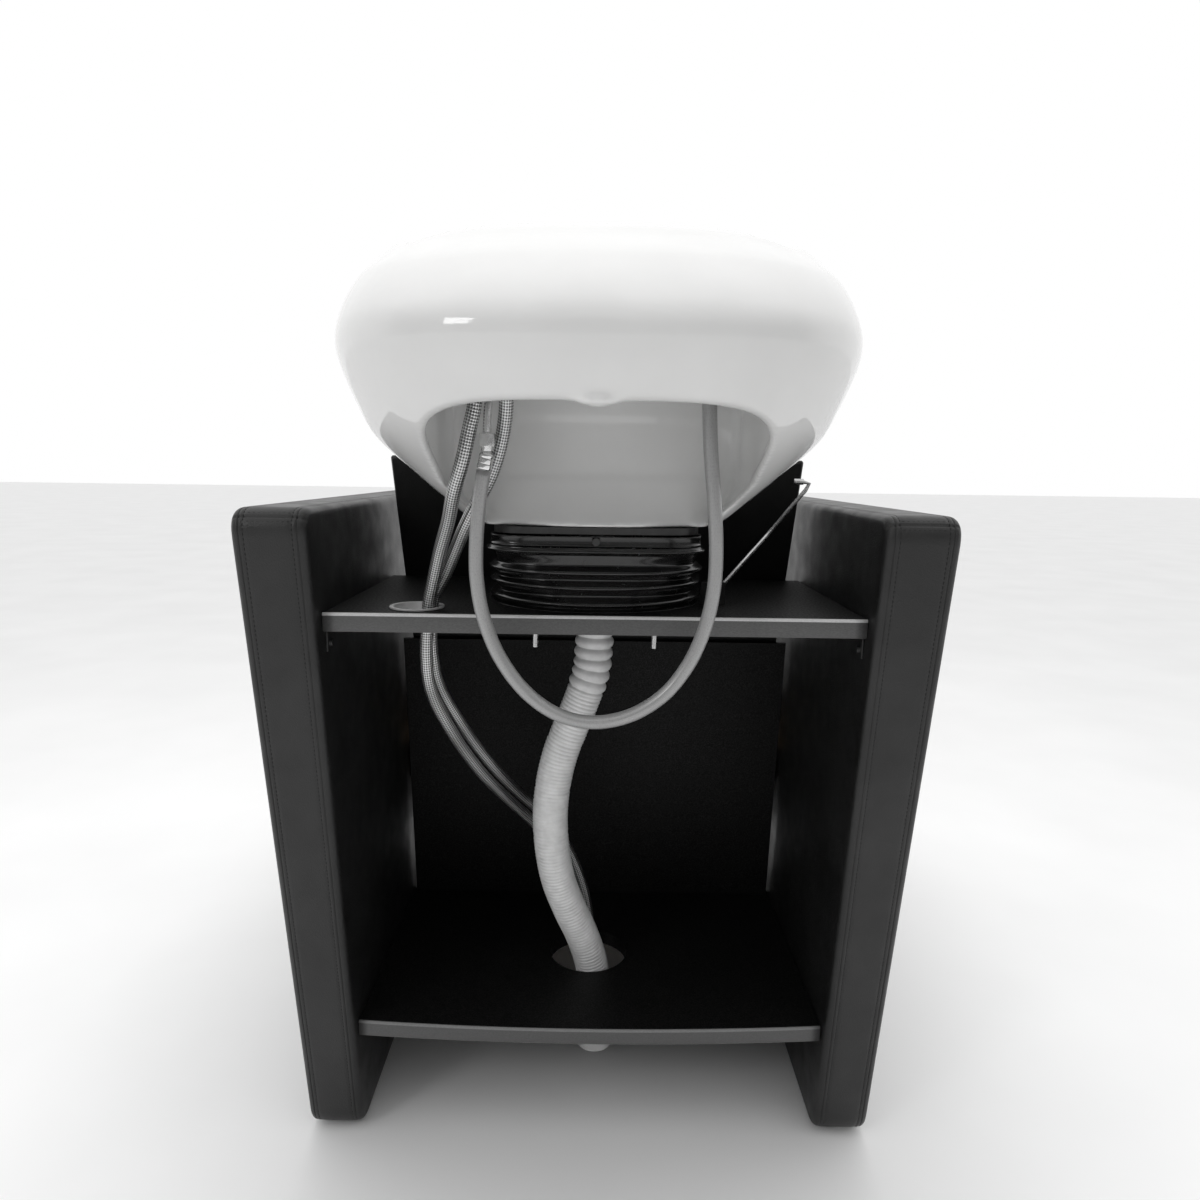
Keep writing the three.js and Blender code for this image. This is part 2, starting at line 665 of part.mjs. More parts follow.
function recessColumn() {
  const heights = [700, 714, 725, 740, 760, 785, 810, 835, 855, RECESS_CEILING];
  const steps = 16;
  const rings = smoothRows(RECESS, heights).map(([z, half, hull]) => {
    const ring = [[-half, -320, z], [half, -320, z]];
    for (let i = 0; i <= steps; i++) {
      const u = 1 - (2 * i) / steps;
      const corner = 60 * (1 - (1 - Math.abs(u) ** 6) ** (1 / 6));
      ring.push([half * u, hull + RECESS_DEEPER * u * u - corner, z]);
    }
    return ring;
  });
  return skinOf(rings);
}

// The arched opening seen from the rear, as a long block.
function recessMouth() {
  const shape = new THREE.Shape();
  const spring = 762;
  const rise = LIP_TOP - spring;
  shape.moveTo(-LIP_HALF_WIDTH - 20, 690);
  shape.lineTo(LIP_HALF_WIDTH + 20, 690);
  shape.lineTo(LIP_HALF_WIDTH + 20, spring - 10);
  const steps = 20;
  for (let i = 0; i <= steps; i++) {
    const angle = (Math.PI * i) / steps;
    const x = LIP_HALF_WIDTH * power(Math.cos(angle), 2 / LIP_SHAPE);
    shape.lineTo(x, spring + rise * Math.sin(angle) ** (2 / LIP_SHAPE));
  }
  shape.lineTo(-LIP_HALF_WIDTH - 20, spring - 10);
  const long = new THREE.ExtrudeGeometry(shape, { depth: 500, bevelEnabled: false });
  return toSolid(long, at(0, 160, 0).multiply(UPRIGHT));
}

// The front of the rim dips a little towards the neck.
function rimTrim() {
  const shape = new THREE.Shape();
  shape.moveTo(-200, 956);
  shape.lineTo(60, 956);
  shape.bezierCurveTo(180, 956, 220, 926, 360, 926);
  shape.lineTo(360, 1000);
  shape.lineTo(-200, 1000);
  return plateAcross(shape, -260, 260);
}

// The skirt is a thin wall: it is hollow behind the basin and all round the deck's pocket.
const DECK_HALF = 158;
const DECK_DEPTH = 44;

function skirtHollow() {
  const side = DECK_HALF + BASIN_WALL;
  const depth = DECK_DEPTH + BASIN_WALL;
  const under = box(-230, 230, -330, 70, 832, RECESS_CEILING);
  const around = box(-230, 230, -330, 40, RECESS_CEILING - 1, 945);
  return under.add(around.subtract(box(-side, side, -depth, 60, RECESS_CEILING, 960)));
}

function makeBasin() {
  const outerHeights = [
    FOOT_BOTTOM, 718, 727, 737, 748, 760, 777, 794, 807, 820, 840, 860, 873, 885, 903, 920, 945, 958,
  ];
  const innerHeights = [739, 752, 766, 780, 805, 830, 855, 880, 905, 930, 970];
  const outside = basinSections(BASIN_OUTSIDE, outerHeights, BASIN_CENTRE);
  const inside = basinSections(BASIN_INSIDE, innerHeights, DRAIN_Y);
  const inset = basinSections(BASIN_OUTSIDE, outerHeights.slice(5), BASIN_CENTRE, BASIN_WALL);
  const deck = [DECK_TOP, 975].map((z) => ({
    z, w: DECK_HALF, back: -DECK_DEPTH, front: DECK_DEPTH, n: 5, centre: 0,
  }));
  const saddle = [920, 975].map((z) => ({
    z, w: 150, back: -30, front: 92, n: 6, centre: 31,
  }));
  const column = recessColumn();
  const within = lofted(inset, 40);
  const recess = column.intersect(recessMouth()).add(within.intersect(column.add(skirtHollow())));
  const top = DECK_TOP + 1;
  const notch = toSolid(
    new THREE.CylinderGeometry(NOTCH_RADIUS, NOTCH_RADIUS, 160, 36), at(0, 340, NOTCH_HEIGHT),
  );
  const bowl = lofted(outside, 44)
    .subtract(lofted(inside, 36))
    .subtract(recess)
    .subtract(lofted(deck, 28))
    .subtract(lofted(saddle, 28))
    .subtract(rimTrim())
    .subtract(notch)
    .subtract(rod(0, DRAIN_Y, 700, 760, DRAIN_HOLE, 28))
    .subtract(rod(MIXER_X, TAP_Y, RECESS_CEILING - 1, top, MIXER_SHANK + CLEAR, 24))
    .subtract(rod(HOLDER_X, TAP_Y, RECESS_CEILING - 1, top, HOLDER_SHANK + CLEAR, 24));
  add("basin", bowl, CERAMIC);
}

function makeNeckRest() {
  const shape = new THREE.Shape();
  const outer = NOTCH_RADIUS - CLEAR;
  const inner = outer - 11;
  const start = 1.14 * Math.PI;
  const end = 1.86 * Math.PI;
  shape.absarc(0, 0, outer, start, end, false);
  shape.absarc(0, 0, inner, end, start, true);
  shape.closePath();
  const pad = new THREE.ExtrudeGeometry(shape, {
    depth: 44, bevelEnabled: false, curveSegments: 18,
  });
  add("neck_rest", toSolid(pad, at(0, 362, NOTCH_HEIGHT).multiply(UPRIGHT)), BLACK_RUBBER);
}

// ---- Waste, strainer and drain hose -------------------------------------------------------
const FLANGE_TOP = 744;
const FLANGE_RADIUS = DRAIN_HOLE + 10;
const PIPE_BOTTOM = 652;
const HOSE_TOP = 610.4;
const END_CUFF_BOTTOM = 30;
const END_CUFF_TOP = 70;

function makeWaste() {
  const flange = turned(
    [[0, 700], [DRAIN_HOLE - CLEAR, 700], [DRAIN_HOLE - CLEAR, FLANGE_TOP - 3.2],
      [FLANGE_RADIUS, FLANGE_TOP - 3], [FLANGE_RADIUS, FLANGE_TOP - 1.6],
      [FLANGE_RADIUS - 3, FLANGE_TOP], [0, FLANGE_TOP]],
    0, DRAIN_Y, 28,
  ).subtract(rod(0, DRAIN_Y, 690, FLANGE_TOP + 1, WASTE_RADIUS - 1.5, 28));
  const seat = rod(0, DRAIN_Y, FLANGE_TOP - 6, FLANGE_TOP + 1, WASTE_RADIUS + 3, 28);
  add("drain_flange", flange.subtract(seat), CHROME);
  let plate = rod(0, DRAIN_Y, FLANGE_TOP - 5.6, FLANGE_TOP - 3.6, WASTE_RADIUS + 2, 28);
  const knob = rod(0, DRAIN_Y, FLANGE_TOP - 4, FLANGE_TOP + 6, 4, 14);
  for (let i = 0; i < 8; i++) {
    const angle = (Math.PI * i) / 4;
    const x = 12 * Math.cos(angle);
    const y = DRAIN_Y + 12 * Math.sin(angle);
    plate = plate.subtract(rod(x, y, FLANGE_TOP - 7, FLANGE_TOP - 2, 3, 8));
  }
  add("strainer", plate.add(knob), CHROME);
  const pipe = rod(0, DRAIN_Y, PIPE_BOTTOM, 700 - GAP, WASTE_RADIUS, 28);
  const bore = rod(0, DRAIN_Y, PIPE_BOTTOM - 2, 701, WASTE_RADIUS - 2.5, 28);
  add("waste_pipe", pipe.subtract(bore), WHITE_PLASTIC);
}

const DRAIN_ROUTE = [
  [0, 165, HOSE_TOP], [0, 165, 590], [-1, 165, 568], [-3, 165, 547], [-9, 165, 525], [-17, 165, 502],
  [-27, 165, 476], [-38, 165, 446], [-46, 165, 411], [-50, 165, 370], [-48, 168, 326],
  [-41, 176, 280], [-27, 186, 235], [-13, 195, 198], [-2, 201, 162], [4, 206, 128], [6, 209, 98],
  [6, 209, 84], [6, 209, 70.6],
];

function makeDrain() {
  const cuff = rod(0, DRAIN_Y, HOSE_TOP + GAP, PIPE_BOTTOM - GAP, CUFF_RADIUS, 28);
  const bore = rod(0, DRAIN_Y, HOSE_TOP - 10, PIPE_BOTTOM + 8, WASTE_RADIUS - 2, 28);
  add("drain_cuff", cuff.subtract(bore), WHITE_PLASTIC);
  add("drain_hose", tubeAlong(DRAIN_ROUTE, DRAIN_HOSE_RADIUS, 20, 12), WHITE_PLASTIC);
  const [x, y] = DRAIN_ROUTE.at(-1);
  const socket = rod(x, y, END_CUFF_BOTTOM - 1, END_CUFF_TOP - 8, WASTE_RADIUS, 24);
  const end = rod(x, y, END_CUFF_BOTTOM, END_CUFF_TOP, CUFF_RADIUS, 24).subtract(socket);
  add("drain_end_cuff", end, WHITE_PLASTIC);
}

// ---- Mixer and supply hoses ---------------------------------------------------------------
const MIXER_SHANK = 20;
const HOLDER_SHANK = 13;
const SHANK_END = 861;
const NUT_TOP = RECESS_CEILING - GAP;
const CAP_BOTTOM = 915;
const HEAD_TURN = -0.25; // the spray head looks a little below level, towards the basin

function makeMixer() {
  const deck = DECK_TOP + GAP;
  const body = turned(
    [[0, SHANK_END], [MIXER_SHANK, SHANK_END], [MIXER_SHANK, deck], [26, deck], [26, deck + 3],
      [21, deck + 7], [21, CAP_BOTTOM - GAP], [0, CAP_BOTTOM - GAP]],
    MIXER_X, TAP_Y,
  );
  add("mixer_body", body, CHROME);
  const nut = rod(MIXER_X, TAP_Y, NUT_TOP - 8, NUT_TOP, 28, 6);
  const bore = rod(MIXER_X, TAP_Y, NUT_TOP - 9, NUT_TOP + 1, MIXER_SHANK + GAP, 24);
  add("mixer_nut", nut.subtract(bore), STEEL);
  const cap = turned(
    [[0, CAP_BOTTOM], [21, CAP_BOTTOM], [21, CAP_BOTTOM + 9], [16, CAP_BOTTOM + 13],
      [0, CAP_BOTTOM + 14]],
    MIXER_X, TAP_Y,
  );
  const lug = box(
    MIXER_X - 4, MIXER_X + 4, TAP_Y - 7, TAP_Y + 7, CAP_BOTTOM + 10, CAP_BOTTOM + 27,
  );
  add("mixer_cap", cap.add(lug), CHROME);
  const leverLow = CAP_BOTTOM + 17;
  const outline = roundedOutline([
    [TAP_Y - 8, leverLow, 4],
    [TAP_Y + 30, leverLow, 3],
    [TAP_Y + 66, leverLow + 12, 2],
    [TAP_Y + 64, leverLow + 17, 2],
    [TAP_Y + 24, leverLow + 12, 4],
    [TAP_Y - 8, leverLow + 13, 4],
  ]);
  const slot = box(
    MIXER_X - 4 - CLEAR, MIXER_X + 4 + CLEAR, TAP_Y - 12, TAP_Y + 11, leverLow - 1, leverLow + 20,
  );
  const lever = plateAcross(outline, MIXER_X - 9, MIXER_X + 9).subtract(slot);
  add("mixer_lever", lever, CHROME);
}

const COLD_ROUTE = [
  [-105, -15, 860.4], [-105, -15, 845], [-106.5, -15, 822], [-112, -14, 800],
  [-118.3, -12, 775.3], [-127.9, -2, 749], [-137.5, 20, 721], [-150, 42, 691],
  [-160, 57, 660], [-167, 64.5, 634], [-169.5, 65, 612], [-171.5, 67, 583], [-171.5, 75, 553],
  [-168, 91, 525], [-157, 111, 490], [-146, 137, 456], [-130, 162, 420], [-112, 188, 387],
  [-93, 209, 358], [-72, 225, 330], [-52, 236, 300], [-36, 243, 262], [-24, 247, 220],
  [-17, 250, 175], [-13, 251, 130], [-12, 251, 90], [-12, 251, 60.5],
];
const HOT_ROUTE = [
  [-79, -15, 860.4], [-79, -15, 847], [-80, -6, 822.7], [-83.5, 2, 802], [-89.5, 8, 780.2],
  [-97.8, 14, 760], [-109.8, 22, 739.6], [-123.6, 34, 715.7], [-136.9, 54, 690.7],
  [-151.5, 70, 662.5], [-162.5, 76, 644], [-167, 78, 624], [-168.5, 79, 604], [-168.5, 81, 583],
  [-167, 89, 556], [-162, 104, 530], [-149.5, 122, 497], [-137.5, 146.5, 464],
  [-121, 170.5, 429], [-103, 196, 396], [-84, 217, 367], [-63, 234, 338], [-42, 245, 306],
  [-24, 254, 266], [-10, 258, 222], [-2.5, 261, 176], [2, 262, 130], [3, 262, 90], [3, 262, 60.5],
];

function makeSupplies() {
  for (const [name, route] of [["cold", COLD_ROUTE], ["hot", HOT_ROUTE]]) {
    add(`supply_hose_${name}`, tubeAlong(route, SUPPLY_RADIUS, 56, 8), BRAID);
    const [x, y] = route.at(-1);
    const collar = rod(x, y, 50, 60, SUPPLY_RADIUS, 16);
    const nut = rod(x, y, 34, 51, SUPPLY_RADIUS + 0.6, 6);
    const bore = rod(x, y, 30, 44, SUPPLY_RADIUS - 2, 12);
    add(`supply_nut_${name}`, collar.add(nut).subtract(bore), CHROME);
  }
}

function makeGrommet() {
  const bottom = UPPER_SHELF_TOP - BOARD;
  const flange = rod(
    GROMMET_X, GROMMET_Y, UPPER_SHELF_TOP + GAP, UPPER_SHELF_TOP + 2.2, GROMMET_RADIUS, 24,
  );
  const sleeve = rod(
    GROMMET_X, GROMMET_Y, bottom + 2, UPPER_SHELF_TOP + 1, GROMMET_HOLE + GROMMET_WALL - GAP, 24,
  );
  const hole = rod(
    GROMMET_X, GROMMET_Y, bottom, UPPER_SHELF_TOP + 4, GROMMET_HOLE, 24,
  );
  add("hose_grommet", flange.add(sleeve).subtract(hole), LIGHT_PLASTIC);
}

// ---- Hand spray ---------------------------------------------------------------------------
const SPRAY_NUT_X = -96;
const SPRAY_ROUTE = [
  [-99.5, -15, 766.4], [-101.5, -15, 754], [-104, -15, 738], [-107, -15, 706],
  [-107.2, -15, 670], [-101, -15, 633.5], [-86, -15, 596.5], [-61, -15, 563.5], [-31, -15, 543.5],
  [1.5, -15, 537.5], [35, -15, 545], [65, -15, 565], [86.5, -15, 594], [100, -15, 627],
  [107, -15, 664], [107.6, -15, 700], [103.8, -15, 744], [99, -15, 787], [96.4, -15, 824],
  [96, -15, 850], [96, -15, 889.7],
];

function makeSprayTail() {
  const tail = tubeAlong(
    [[MIXER_X, TAP_Y, SHANK_END - GAP], [-92.6, TAP_Y, 840], [-95.2, TAP_Y, 815],
      [SPRAY_NUT_X, TAP_Y, 799]], 3.8, 6, 10,
  );
  add("spray_tail", tail, CHROME);
  const nut = rod(SPRAY_NUT_X, TAP_Y, 787, 798, 7.6, 6);
  const neck = rod(SPRAY_NUT_X, TAP_Y, 783, 788, 5.6, 16);
  add("spray_nut", nut.add(neck), CHROME);
  const [endX, , endZ] = SPRAY_ROUTE[0];
  const lean = Math.atan2(endX - SPRAY_NUT_X, 782.4 - endZ);
  const length = Math.hypot(endX - SPRAY_NUT_X, 782.4 - endZ) - 2;
  const middle = at((endX + SPRAY_NUT_X) / 2, TAP_Y, (782.4 + endZ) / 2);
  const tilt = new THREE.Matrix4().makeRotationY(-lean).multiply(UPRIGHT);
  const ferrule = toSolid(
    new THREE.CylinderGeometry(6.6, 6.6, length, 16), middle.multiply(tilt),
  );
  add("spray_ferrule", ferrule, CHROME);
  add("spray_hose", tubeAlong(SPRAY_ROUTE, SPRAY_RADIUS, 40, 8), GREY_HOSE);
}

function makeHandset() {
  const deck = DECK_TOP + GAP;
  const holder = turned(
    [[0, SHANK_END], [HOLDER_SHANK, SHANK_END], [HOLDER_SHANK, deck], [21, deck], [21, deck + 3],
      [18, deck + 8], [0, deck + 8]],
    HOLDER_X, TAP_Y,
  ).subtract(
    turned(
      [[0, SHANK_END - 1], [SPRAY_RADIUS + 2, SHANK_END - 1], [SPRAY_RADIUS + 2, deck - 4],
        [14, deck + 4], [14, deck + 10], [0, deck + 10]],
      HOLDER_X, TAP_Y,
    ),
  );
  add("handset_holder", holder, CHROME);
  const nut = rod(HOLDER_X, TAP_Y, NUT_TOP - 8, NUT_TOP, 21, 6);
  const bore = rod(HOLDER_X, TAP_Y, NUT_TOP - 9, NUT_TOP + 1, HOLDER_SHANK + GAP, 24);
  add("holder_nut", nut.subtract(bore), STEEL);
  const stem = turned(
    [[0, 890], [12, 890], [13, 900], [13, 912], [15, 926], [13, 938], [0, 944]],
    HOLDER_X, TAP_Y,
  );
  const headPlace = at(HOLDER_X, TAP_Y + 16, 934).multiply(turnX(HEAD_TURN));
  const head = toSolid(new THREE.CylinderGeometry(17, 12, 34, 24), headPlace);
  add("handset_body", stem.add(head), BLACK_PLASTIC);
  const facePlace = at(HOLDER_X, TAP_Y + 16, 934)
    .multiply(turnX(HEAD_TURN))
    .multiply(at(0, 17 + GAP + 1.5, 0));
  add("spray_face", toSolid(new THREE.CylinderGeometry(15, 15, 3, 24), facePlace), LIGHT_PLASTIC);
}

makePanels();
makeUpperShelf();
makeLowerShelf();
makeFrontWall();
makeBrackets();
makeSeat();
makeBackrest();
makeTiltBase();
makeBaseBolts();
makeCradle();
makeTiltLock();
makeBellows();
makeBasin();
makeNeckRest();
makeWaste();
makeDrain();
makeMixer();
makeSupplies();
makeGrommet();
makeSprayTail();
makeHandset();

// The exported frame has its origin on the floor under the middle of the whole unit.
const reach = new THREE.Box3().setFromObject(unit);
unit.position.y = -(reach.min.y + reach.max.y) / 2;
const backwash = new THREE.Group();
backwash.add(unit);

export default backwash;
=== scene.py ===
"""Looks of a salon shampoo backwash unit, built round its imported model.

Metres, +X to the right seen from the rear, +Y to the front of the seat, +Z up.
"""
import json
import math

import bmesh
import bpy
import numpy as np
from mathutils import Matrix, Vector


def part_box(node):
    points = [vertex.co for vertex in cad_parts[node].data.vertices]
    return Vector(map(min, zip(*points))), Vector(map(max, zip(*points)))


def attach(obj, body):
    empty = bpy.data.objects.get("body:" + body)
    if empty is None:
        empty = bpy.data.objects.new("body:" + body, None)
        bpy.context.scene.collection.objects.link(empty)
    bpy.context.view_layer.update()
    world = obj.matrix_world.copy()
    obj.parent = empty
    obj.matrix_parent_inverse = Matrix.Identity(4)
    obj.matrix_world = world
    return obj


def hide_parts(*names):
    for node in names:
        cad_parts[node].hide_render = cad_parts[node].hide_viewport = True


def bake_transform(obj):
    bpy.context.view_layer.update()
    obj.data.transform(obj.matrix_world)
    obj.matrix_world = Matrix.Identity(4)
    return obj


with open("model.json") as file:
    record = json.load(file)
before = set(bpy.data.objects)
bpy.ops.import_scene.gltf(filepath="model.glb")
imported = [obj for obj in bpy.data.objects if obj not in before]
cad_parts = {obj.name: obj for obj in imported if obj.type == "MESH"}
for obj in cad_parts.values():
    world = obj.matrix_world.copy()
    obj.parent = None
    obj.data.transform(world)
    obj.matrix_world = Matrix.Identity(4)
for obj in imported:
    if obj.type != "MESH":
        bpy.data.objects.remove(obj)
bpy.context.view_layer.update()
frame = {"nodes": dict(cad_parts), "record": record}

import openvdb
from mathutils import Matrix, Vector
from mathutils.bvhtree import BVHTree

MM = 0.001

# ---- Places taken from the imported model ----
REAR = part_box("basin")[0].y + 168 * MM  # Y of the side panels' rear top edge
PANEL_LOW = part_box("side_panel_cover_right")[0]
SIDES = (("left", -1), ("right", 1))


def place(x, y, z):
    """A point given from the panels' rear top edge, in the row frame."""
    return Vector((x, y + REAR, z))


# ---- Camera ----
CAMERA_BACK = 0.779  # behind the panels' rear top edge
CAMERA_HEIGHT = 0.770
CAMERA_PITCH = math.radians(12.73)
CAMERA_ROLL = 0.0135
CAMERA_LENS = 25.5  # millimetres, on a 36 mm frame
CAMERA_SHIFT = (0.0046, 0.05)


def make_camera():
    data = bpy.data.cameras.new("camera")
    data.sensor_width = 36
    data.lens = CAMERA_LENS
    data.shift_x, data.shift_y = CAMERA_SHIFT
    camera = bpy.data.objects.new("camera", data)
    bpy.context.scene.collection.objects.link(camera)
    down = Matrix.Rotation(math.pi / 2 - CAMERA_PITCH, 4, "X")
    roll = Matrix.Rotation(CAMERA_ROLL, 4, "Z")
    camera.matrix_world = Matrix.Translation(place(0, -CAMERA_BACK, CAMERA_HEIGHT)) @ down @ roll
    bpy.context.scene.camera = camera


make_camera()


# ---- Materials ----
SOCKETS = {
    "specular": "Specular IOR Level", "coat_weight": "Coat Weight", "coat_roughness": "Coat Roughness",
}


class Look:
    """A Principled material and the few node steps that all the looks share."""

    def __init__(self, name, colour, roughness, metallic=0.0, **sockets):
        self.material = bpy.data.materials.new(name)
        self.material.use_nodes = True
        self.tree = self.material.node_tree
        self.shader = self.tree.nodes["Principled BSDF"]
        self.shader.inputs["Base Color"].default_value = (*colour, 1)
        self.shader.inputs["Roughness"].default_value = roughness
        self.shader.inputs["Metallic"].default_value = metallic
        for key, value in sockets.items():
            self.shader.inputs[SOCKETS[key]].default_value = value
        self.normal = None

    def node(self, kind, **values):
        made = self.tree.nodes.new(kind)
        for key, value in values.items():
            if key in made.inputs:
                made.inputs[key].default_value = value
            else:
                setattr(made, key, value)
        return made

    def join(self, start, end):
        self.tree.links.new(start, end)

    def coordinates(self, stretch=(1, 1, 1), uv=False):
        source = self.node("ShaderNodeTexCoord")
        mapping = self.node("ShaderNodeMapping")
        mapping.inputs["Scale"].default_value = stretch
        self.join(source.outputs["UV" if uv else "Object"], mapping.inputs["Vector"])
        return mapping.outputs["Vector"]

    def noise(self, size, detail=4.0, stretch=(1, 1, 1), uv=False):
        """Noise whose spots are about size metres across."""
        made = self.node("ShaderNodeTexNoise", Scale=1 / size, Detail=detail)
        self.join(self.coordinates(stretch, uv), made.inputs["Vector"])
        return made.outputs["Fac"]

    def cells(self, size):
        made = self.node("ShaderNodeTexVoronoi", Scale=1 / size)
        self.join(self.coordinates(), made.inputs["Vector"])
        return made.outputs["Distance"]

    def spread(self, value, low, high, start=0.3, end=0.7):
        made = self.node("ShaderNodeMapRange")
        for key, number in (("From Min", start), ("From Max", end), ("To Min", low), ("To Max", high)):
            made.inputs[key].default_value = number
        self.join(value, made.inputs["Value"])
        return made.outputs["Result"]

    def colour(self, value, dark, light, start=0.3, end=0.7):
        ramp = self.node("ShaderNodeValToRGB")
        first, last = ramp.color_ramp.elements
        first.position, last.position = start, end
        first.color, last.color = (*dark, 1), (*light, 1)
        self.join(value, ramp.inputs["Fac"])
        self.join(ramp.outputs["Color"], self.shader.inputs["Base Color"])

    def roughness(self, value, low, high):
        self.join(self.spread(value, low, high), self.shader.inputs["Roughness"])

    def bump(self, value, depth, strength=1.0):
        """Raises the surface by value times depth metres, on top of earlier bumps."""
        made = self.node("ShaderNodeBump", Strength=strength, Distance=depth)
        self.join(value, made.inputs["Height"])
        if self.normal is not None:
            self.join(self.normal, made.inputs["Normal"])
        self.normal = made.outputs["Normal"]
        self.join(self.normal, self.shader.inputs["Normal"])


def grey(value):
    return (value, value, value)


def leatherette():
    look = Look("leatherette", grey(0.01), 0.42, specular=0.5)
    look.colour(look.noise(0.09, 3), grey(0.007), grey(0.014))
    look.roughness(look.noise(0.03, 5), 0.36, 0.5)
    look.bump(look.noise(0.22, 2), 6 * MM, 0.25)
    look.bump(look.cells(1.5 * MM), 0.35 * MM, 0.5)
    look.bump(look.noise(0.5 * MM, 3), 0.12 * MM, 0.4)
    return look.material


def black_laminate():
    look = Look("black_laminate", grey(0.006), 0.5, specular=0.16)
    look.colour(look.noise(1.6 * MM, 4), grey(0.002), grey(0.02), 0.42, 0.72)
    look.roughness(look.noise(2.5 * MM, 3), 0.38, 0.6)
    look.bump(look.noise(1.2 * MM, 4), 0.25 * MM, 0.6)
    return look.material


def edge_band(name, low, high):
    look = Look(name, grey(low), 0.42)
    look.colour(look.noise(0.7 * MM, 3, (0.35, 1, 1)), grey(low), grey(high))
    look.roughness(look.noise(4 * MM, 3), 0.36, 0.48)
    look.bump(look.noise(0.6 * MM, 2), 0.08 * MM, 0.5)
    return look.material


def raw_board():
    look = Look("raw_board", (0.42, 0.29, 0.17), 0.75)
    look.colour(look.noise(3 * MM, 6, (1, 0.25, 1)), (0.3, 0.2, 0.11), (0.5, 0.37, 0.23))
    look.bump(look.noise(2 * MM, 5), 0.4 * MM, 0.7)
    return look.material


def ceramic():
    look = Look("glazed_ceramic", (0.74, 0.74, 0.735), 0.07, coat_weight=0.35, coat_roughness=0.03)
    look.colour(look.noise(0.06, 3), (0.73, 0.73, 0.725), (0.76, 0.76, 0.755))
    look.roughness(look.noise(0.02, 4), 0.05, 0.1)
    look.bump(look.noise(0.05, 2), 1.2 * MM, 0.12)
    look.bump(look.noise(3 * MM, 2), 0.05 * MM, 0.15)
    return look.material


def rubber(name, value, roughness):
    look = Look(name, grey(value), roughness, coat_weight=0.3, coat_roughness=0.15)
    look.colour(look.noise(0.02, 4), grey(value * 0.7), grey(value * 1.5))
    look.roughness(look.noise(8 * MM, 5), roughness * 0.75, roughness * 1.4)
    look.bump(look.noise(2 * MM, 4), 0.12 * MM, 0.4)
    return look.material


def painted_steel():
    look = Look("black_steel", grey(0.014), 0.4, coat_weight=0.2)
    look.colour(look.noise(0.01, 4), grey(0.009), grey(0.022))
    look.bump(look.noise(0.8 * MM, 3), 0.15 * MM, 0.6)
    return look.material


def bright_metal(name, value, low, high):
    look = Look(name, grey(value), low, 1.0)
    look.colour(look.noise(6 * MM, 4), grey(value * 0.86), grey(value * 1.06))
    look.roughness(look.noise(3 * MM, 4), low, high)
    look.bump(look.noise(0.5 * MM, 2, (1, 1, 6)), 0.02 * MM, 0.5)
    return look.material


def plastic(name, value, roughness, grain=0.8 * MM):
    look = Look(name, grey(value), roughness)
    look.colour(look.noise(0.012, 4), grey(value * 0.9), grey(min(value * 1.08, 0.9)))
    look.roughness(look.noise(6 * MM, 4), roughness * 0.85, roughness * 1.2)
    look.bump(look.noise(grain, 3), 0.06 * MM, 0.5)
    return look.material


def hose_skin():
    look = Look("grey_hose", grey(0.36), 0.3, metallic=0.25, coat_weight=0.3, coat_roughness=0.15)
    look.colour(look.noise(5 * MM, 4, (1, 0.15, 1), uv=True), grey(0.31), grey(0.4))
    look.roughness(look.noise(3 * MM, 3, uv=True), 0.24, 0.36)
    return look.material


def braid():
    """Two sets of wires wound round the hose, crossing over each other."""
    look = Look("steel_braid", grey(0.5), 0.3, metallic=0.9)
    parts = look.node("ShaderNodeSeparateXYZ")
    look.join(look.coordinates(uv=True), parts.inputs["Vector"])

    def wave(sign):
        along = look.node("ShaderNodeMath", operation="MULTIPLY")
        along.inputs[1].default_value = 2 * math.pi / (5.2 * MM)
        look.join(parts.outputs["Y"], along.inputs[0])
        turned = look.node("ShaderNodeMath", operation="MULTIPLY")
        turned.inputs[1].default_value = sign * 2 * math.pi * 8
        look.join(parts.outputs["X"], turned.inputs[0])
        total = look.node("ShaderNodeMath", operation="ADD")
        look.join(along.outputs[0], total.inputs[0])
        look.join(turned.outputs[0], total.inputs[1])
        sine = look.node("ShaderNodeMath", operation="SINE")
        look.join(total.outputs[0], sine.inputs[0])
        return sine.outputs[0]

    product = look.node("ShaderNodeMath", operation="MULTIPLY")
    look.join(wave(1), product.inputs[0])
    look.join(wave(-1), product.inputs[1])
    weave = product.outputs[0]
    look.colour(look.spread(weave, 0, 1, -0.8, 0.8), grey(0.1), grey(0.72), 0.15, 0.75)
    look.bump(look.spread(weave, 0, 1, -1, 1), 0.5 * MM, 0.9)
    return look.material


def thread():
    look = Look("thread", grey(0.004), 0.7)
    look.colour(look.noise(1 * MM, 2), grey(0.002), grey(0.007))
    return look.material


LOOKS = {
    "leatherette": leatherette(),
    "board_core": raw_board(),
    "black_board": black_laminate(),
    "grey_edging": edge_band("grey_edging", 0.07, 0.1),
    "black_steel": painted_steel(),
    "bright_steel": bright_metal("bright_steel", 0.6, 0.2, 0.38),
    "bellows_rubber": rubber("bellows_rubber", 0.006, 0.2),
    "neck_gel": rubber("neck_gel", 0.014, 0.42),
    "glazed_ceramic": ceramic(),
    "chrome": bright_metal("chrome", 0.82, 0.04, 0.12),
    "braided_hose": braid(),
    "grey_hose": hose_skin(),
    "white_plastic": plastic("white_plastic", 0.76, 0.38),
    "drain_hose": plastic("drain_hose", 0.74, 0.42),
    "light_plastic": plastic("light_plastic", 0.5, 0.35),
    "black_plastic": plastic("black_plastic", 0.014, 0.35),
}
# A lighter grey copy of the edge band. It is painted on the upper shelf edge's top arris as a painted
# highlight.
PAINTED_HIGHLIGHT_EDGE = edge_band("edge_painted_highlight", 0.5, 0.62)
THREAD = thread()


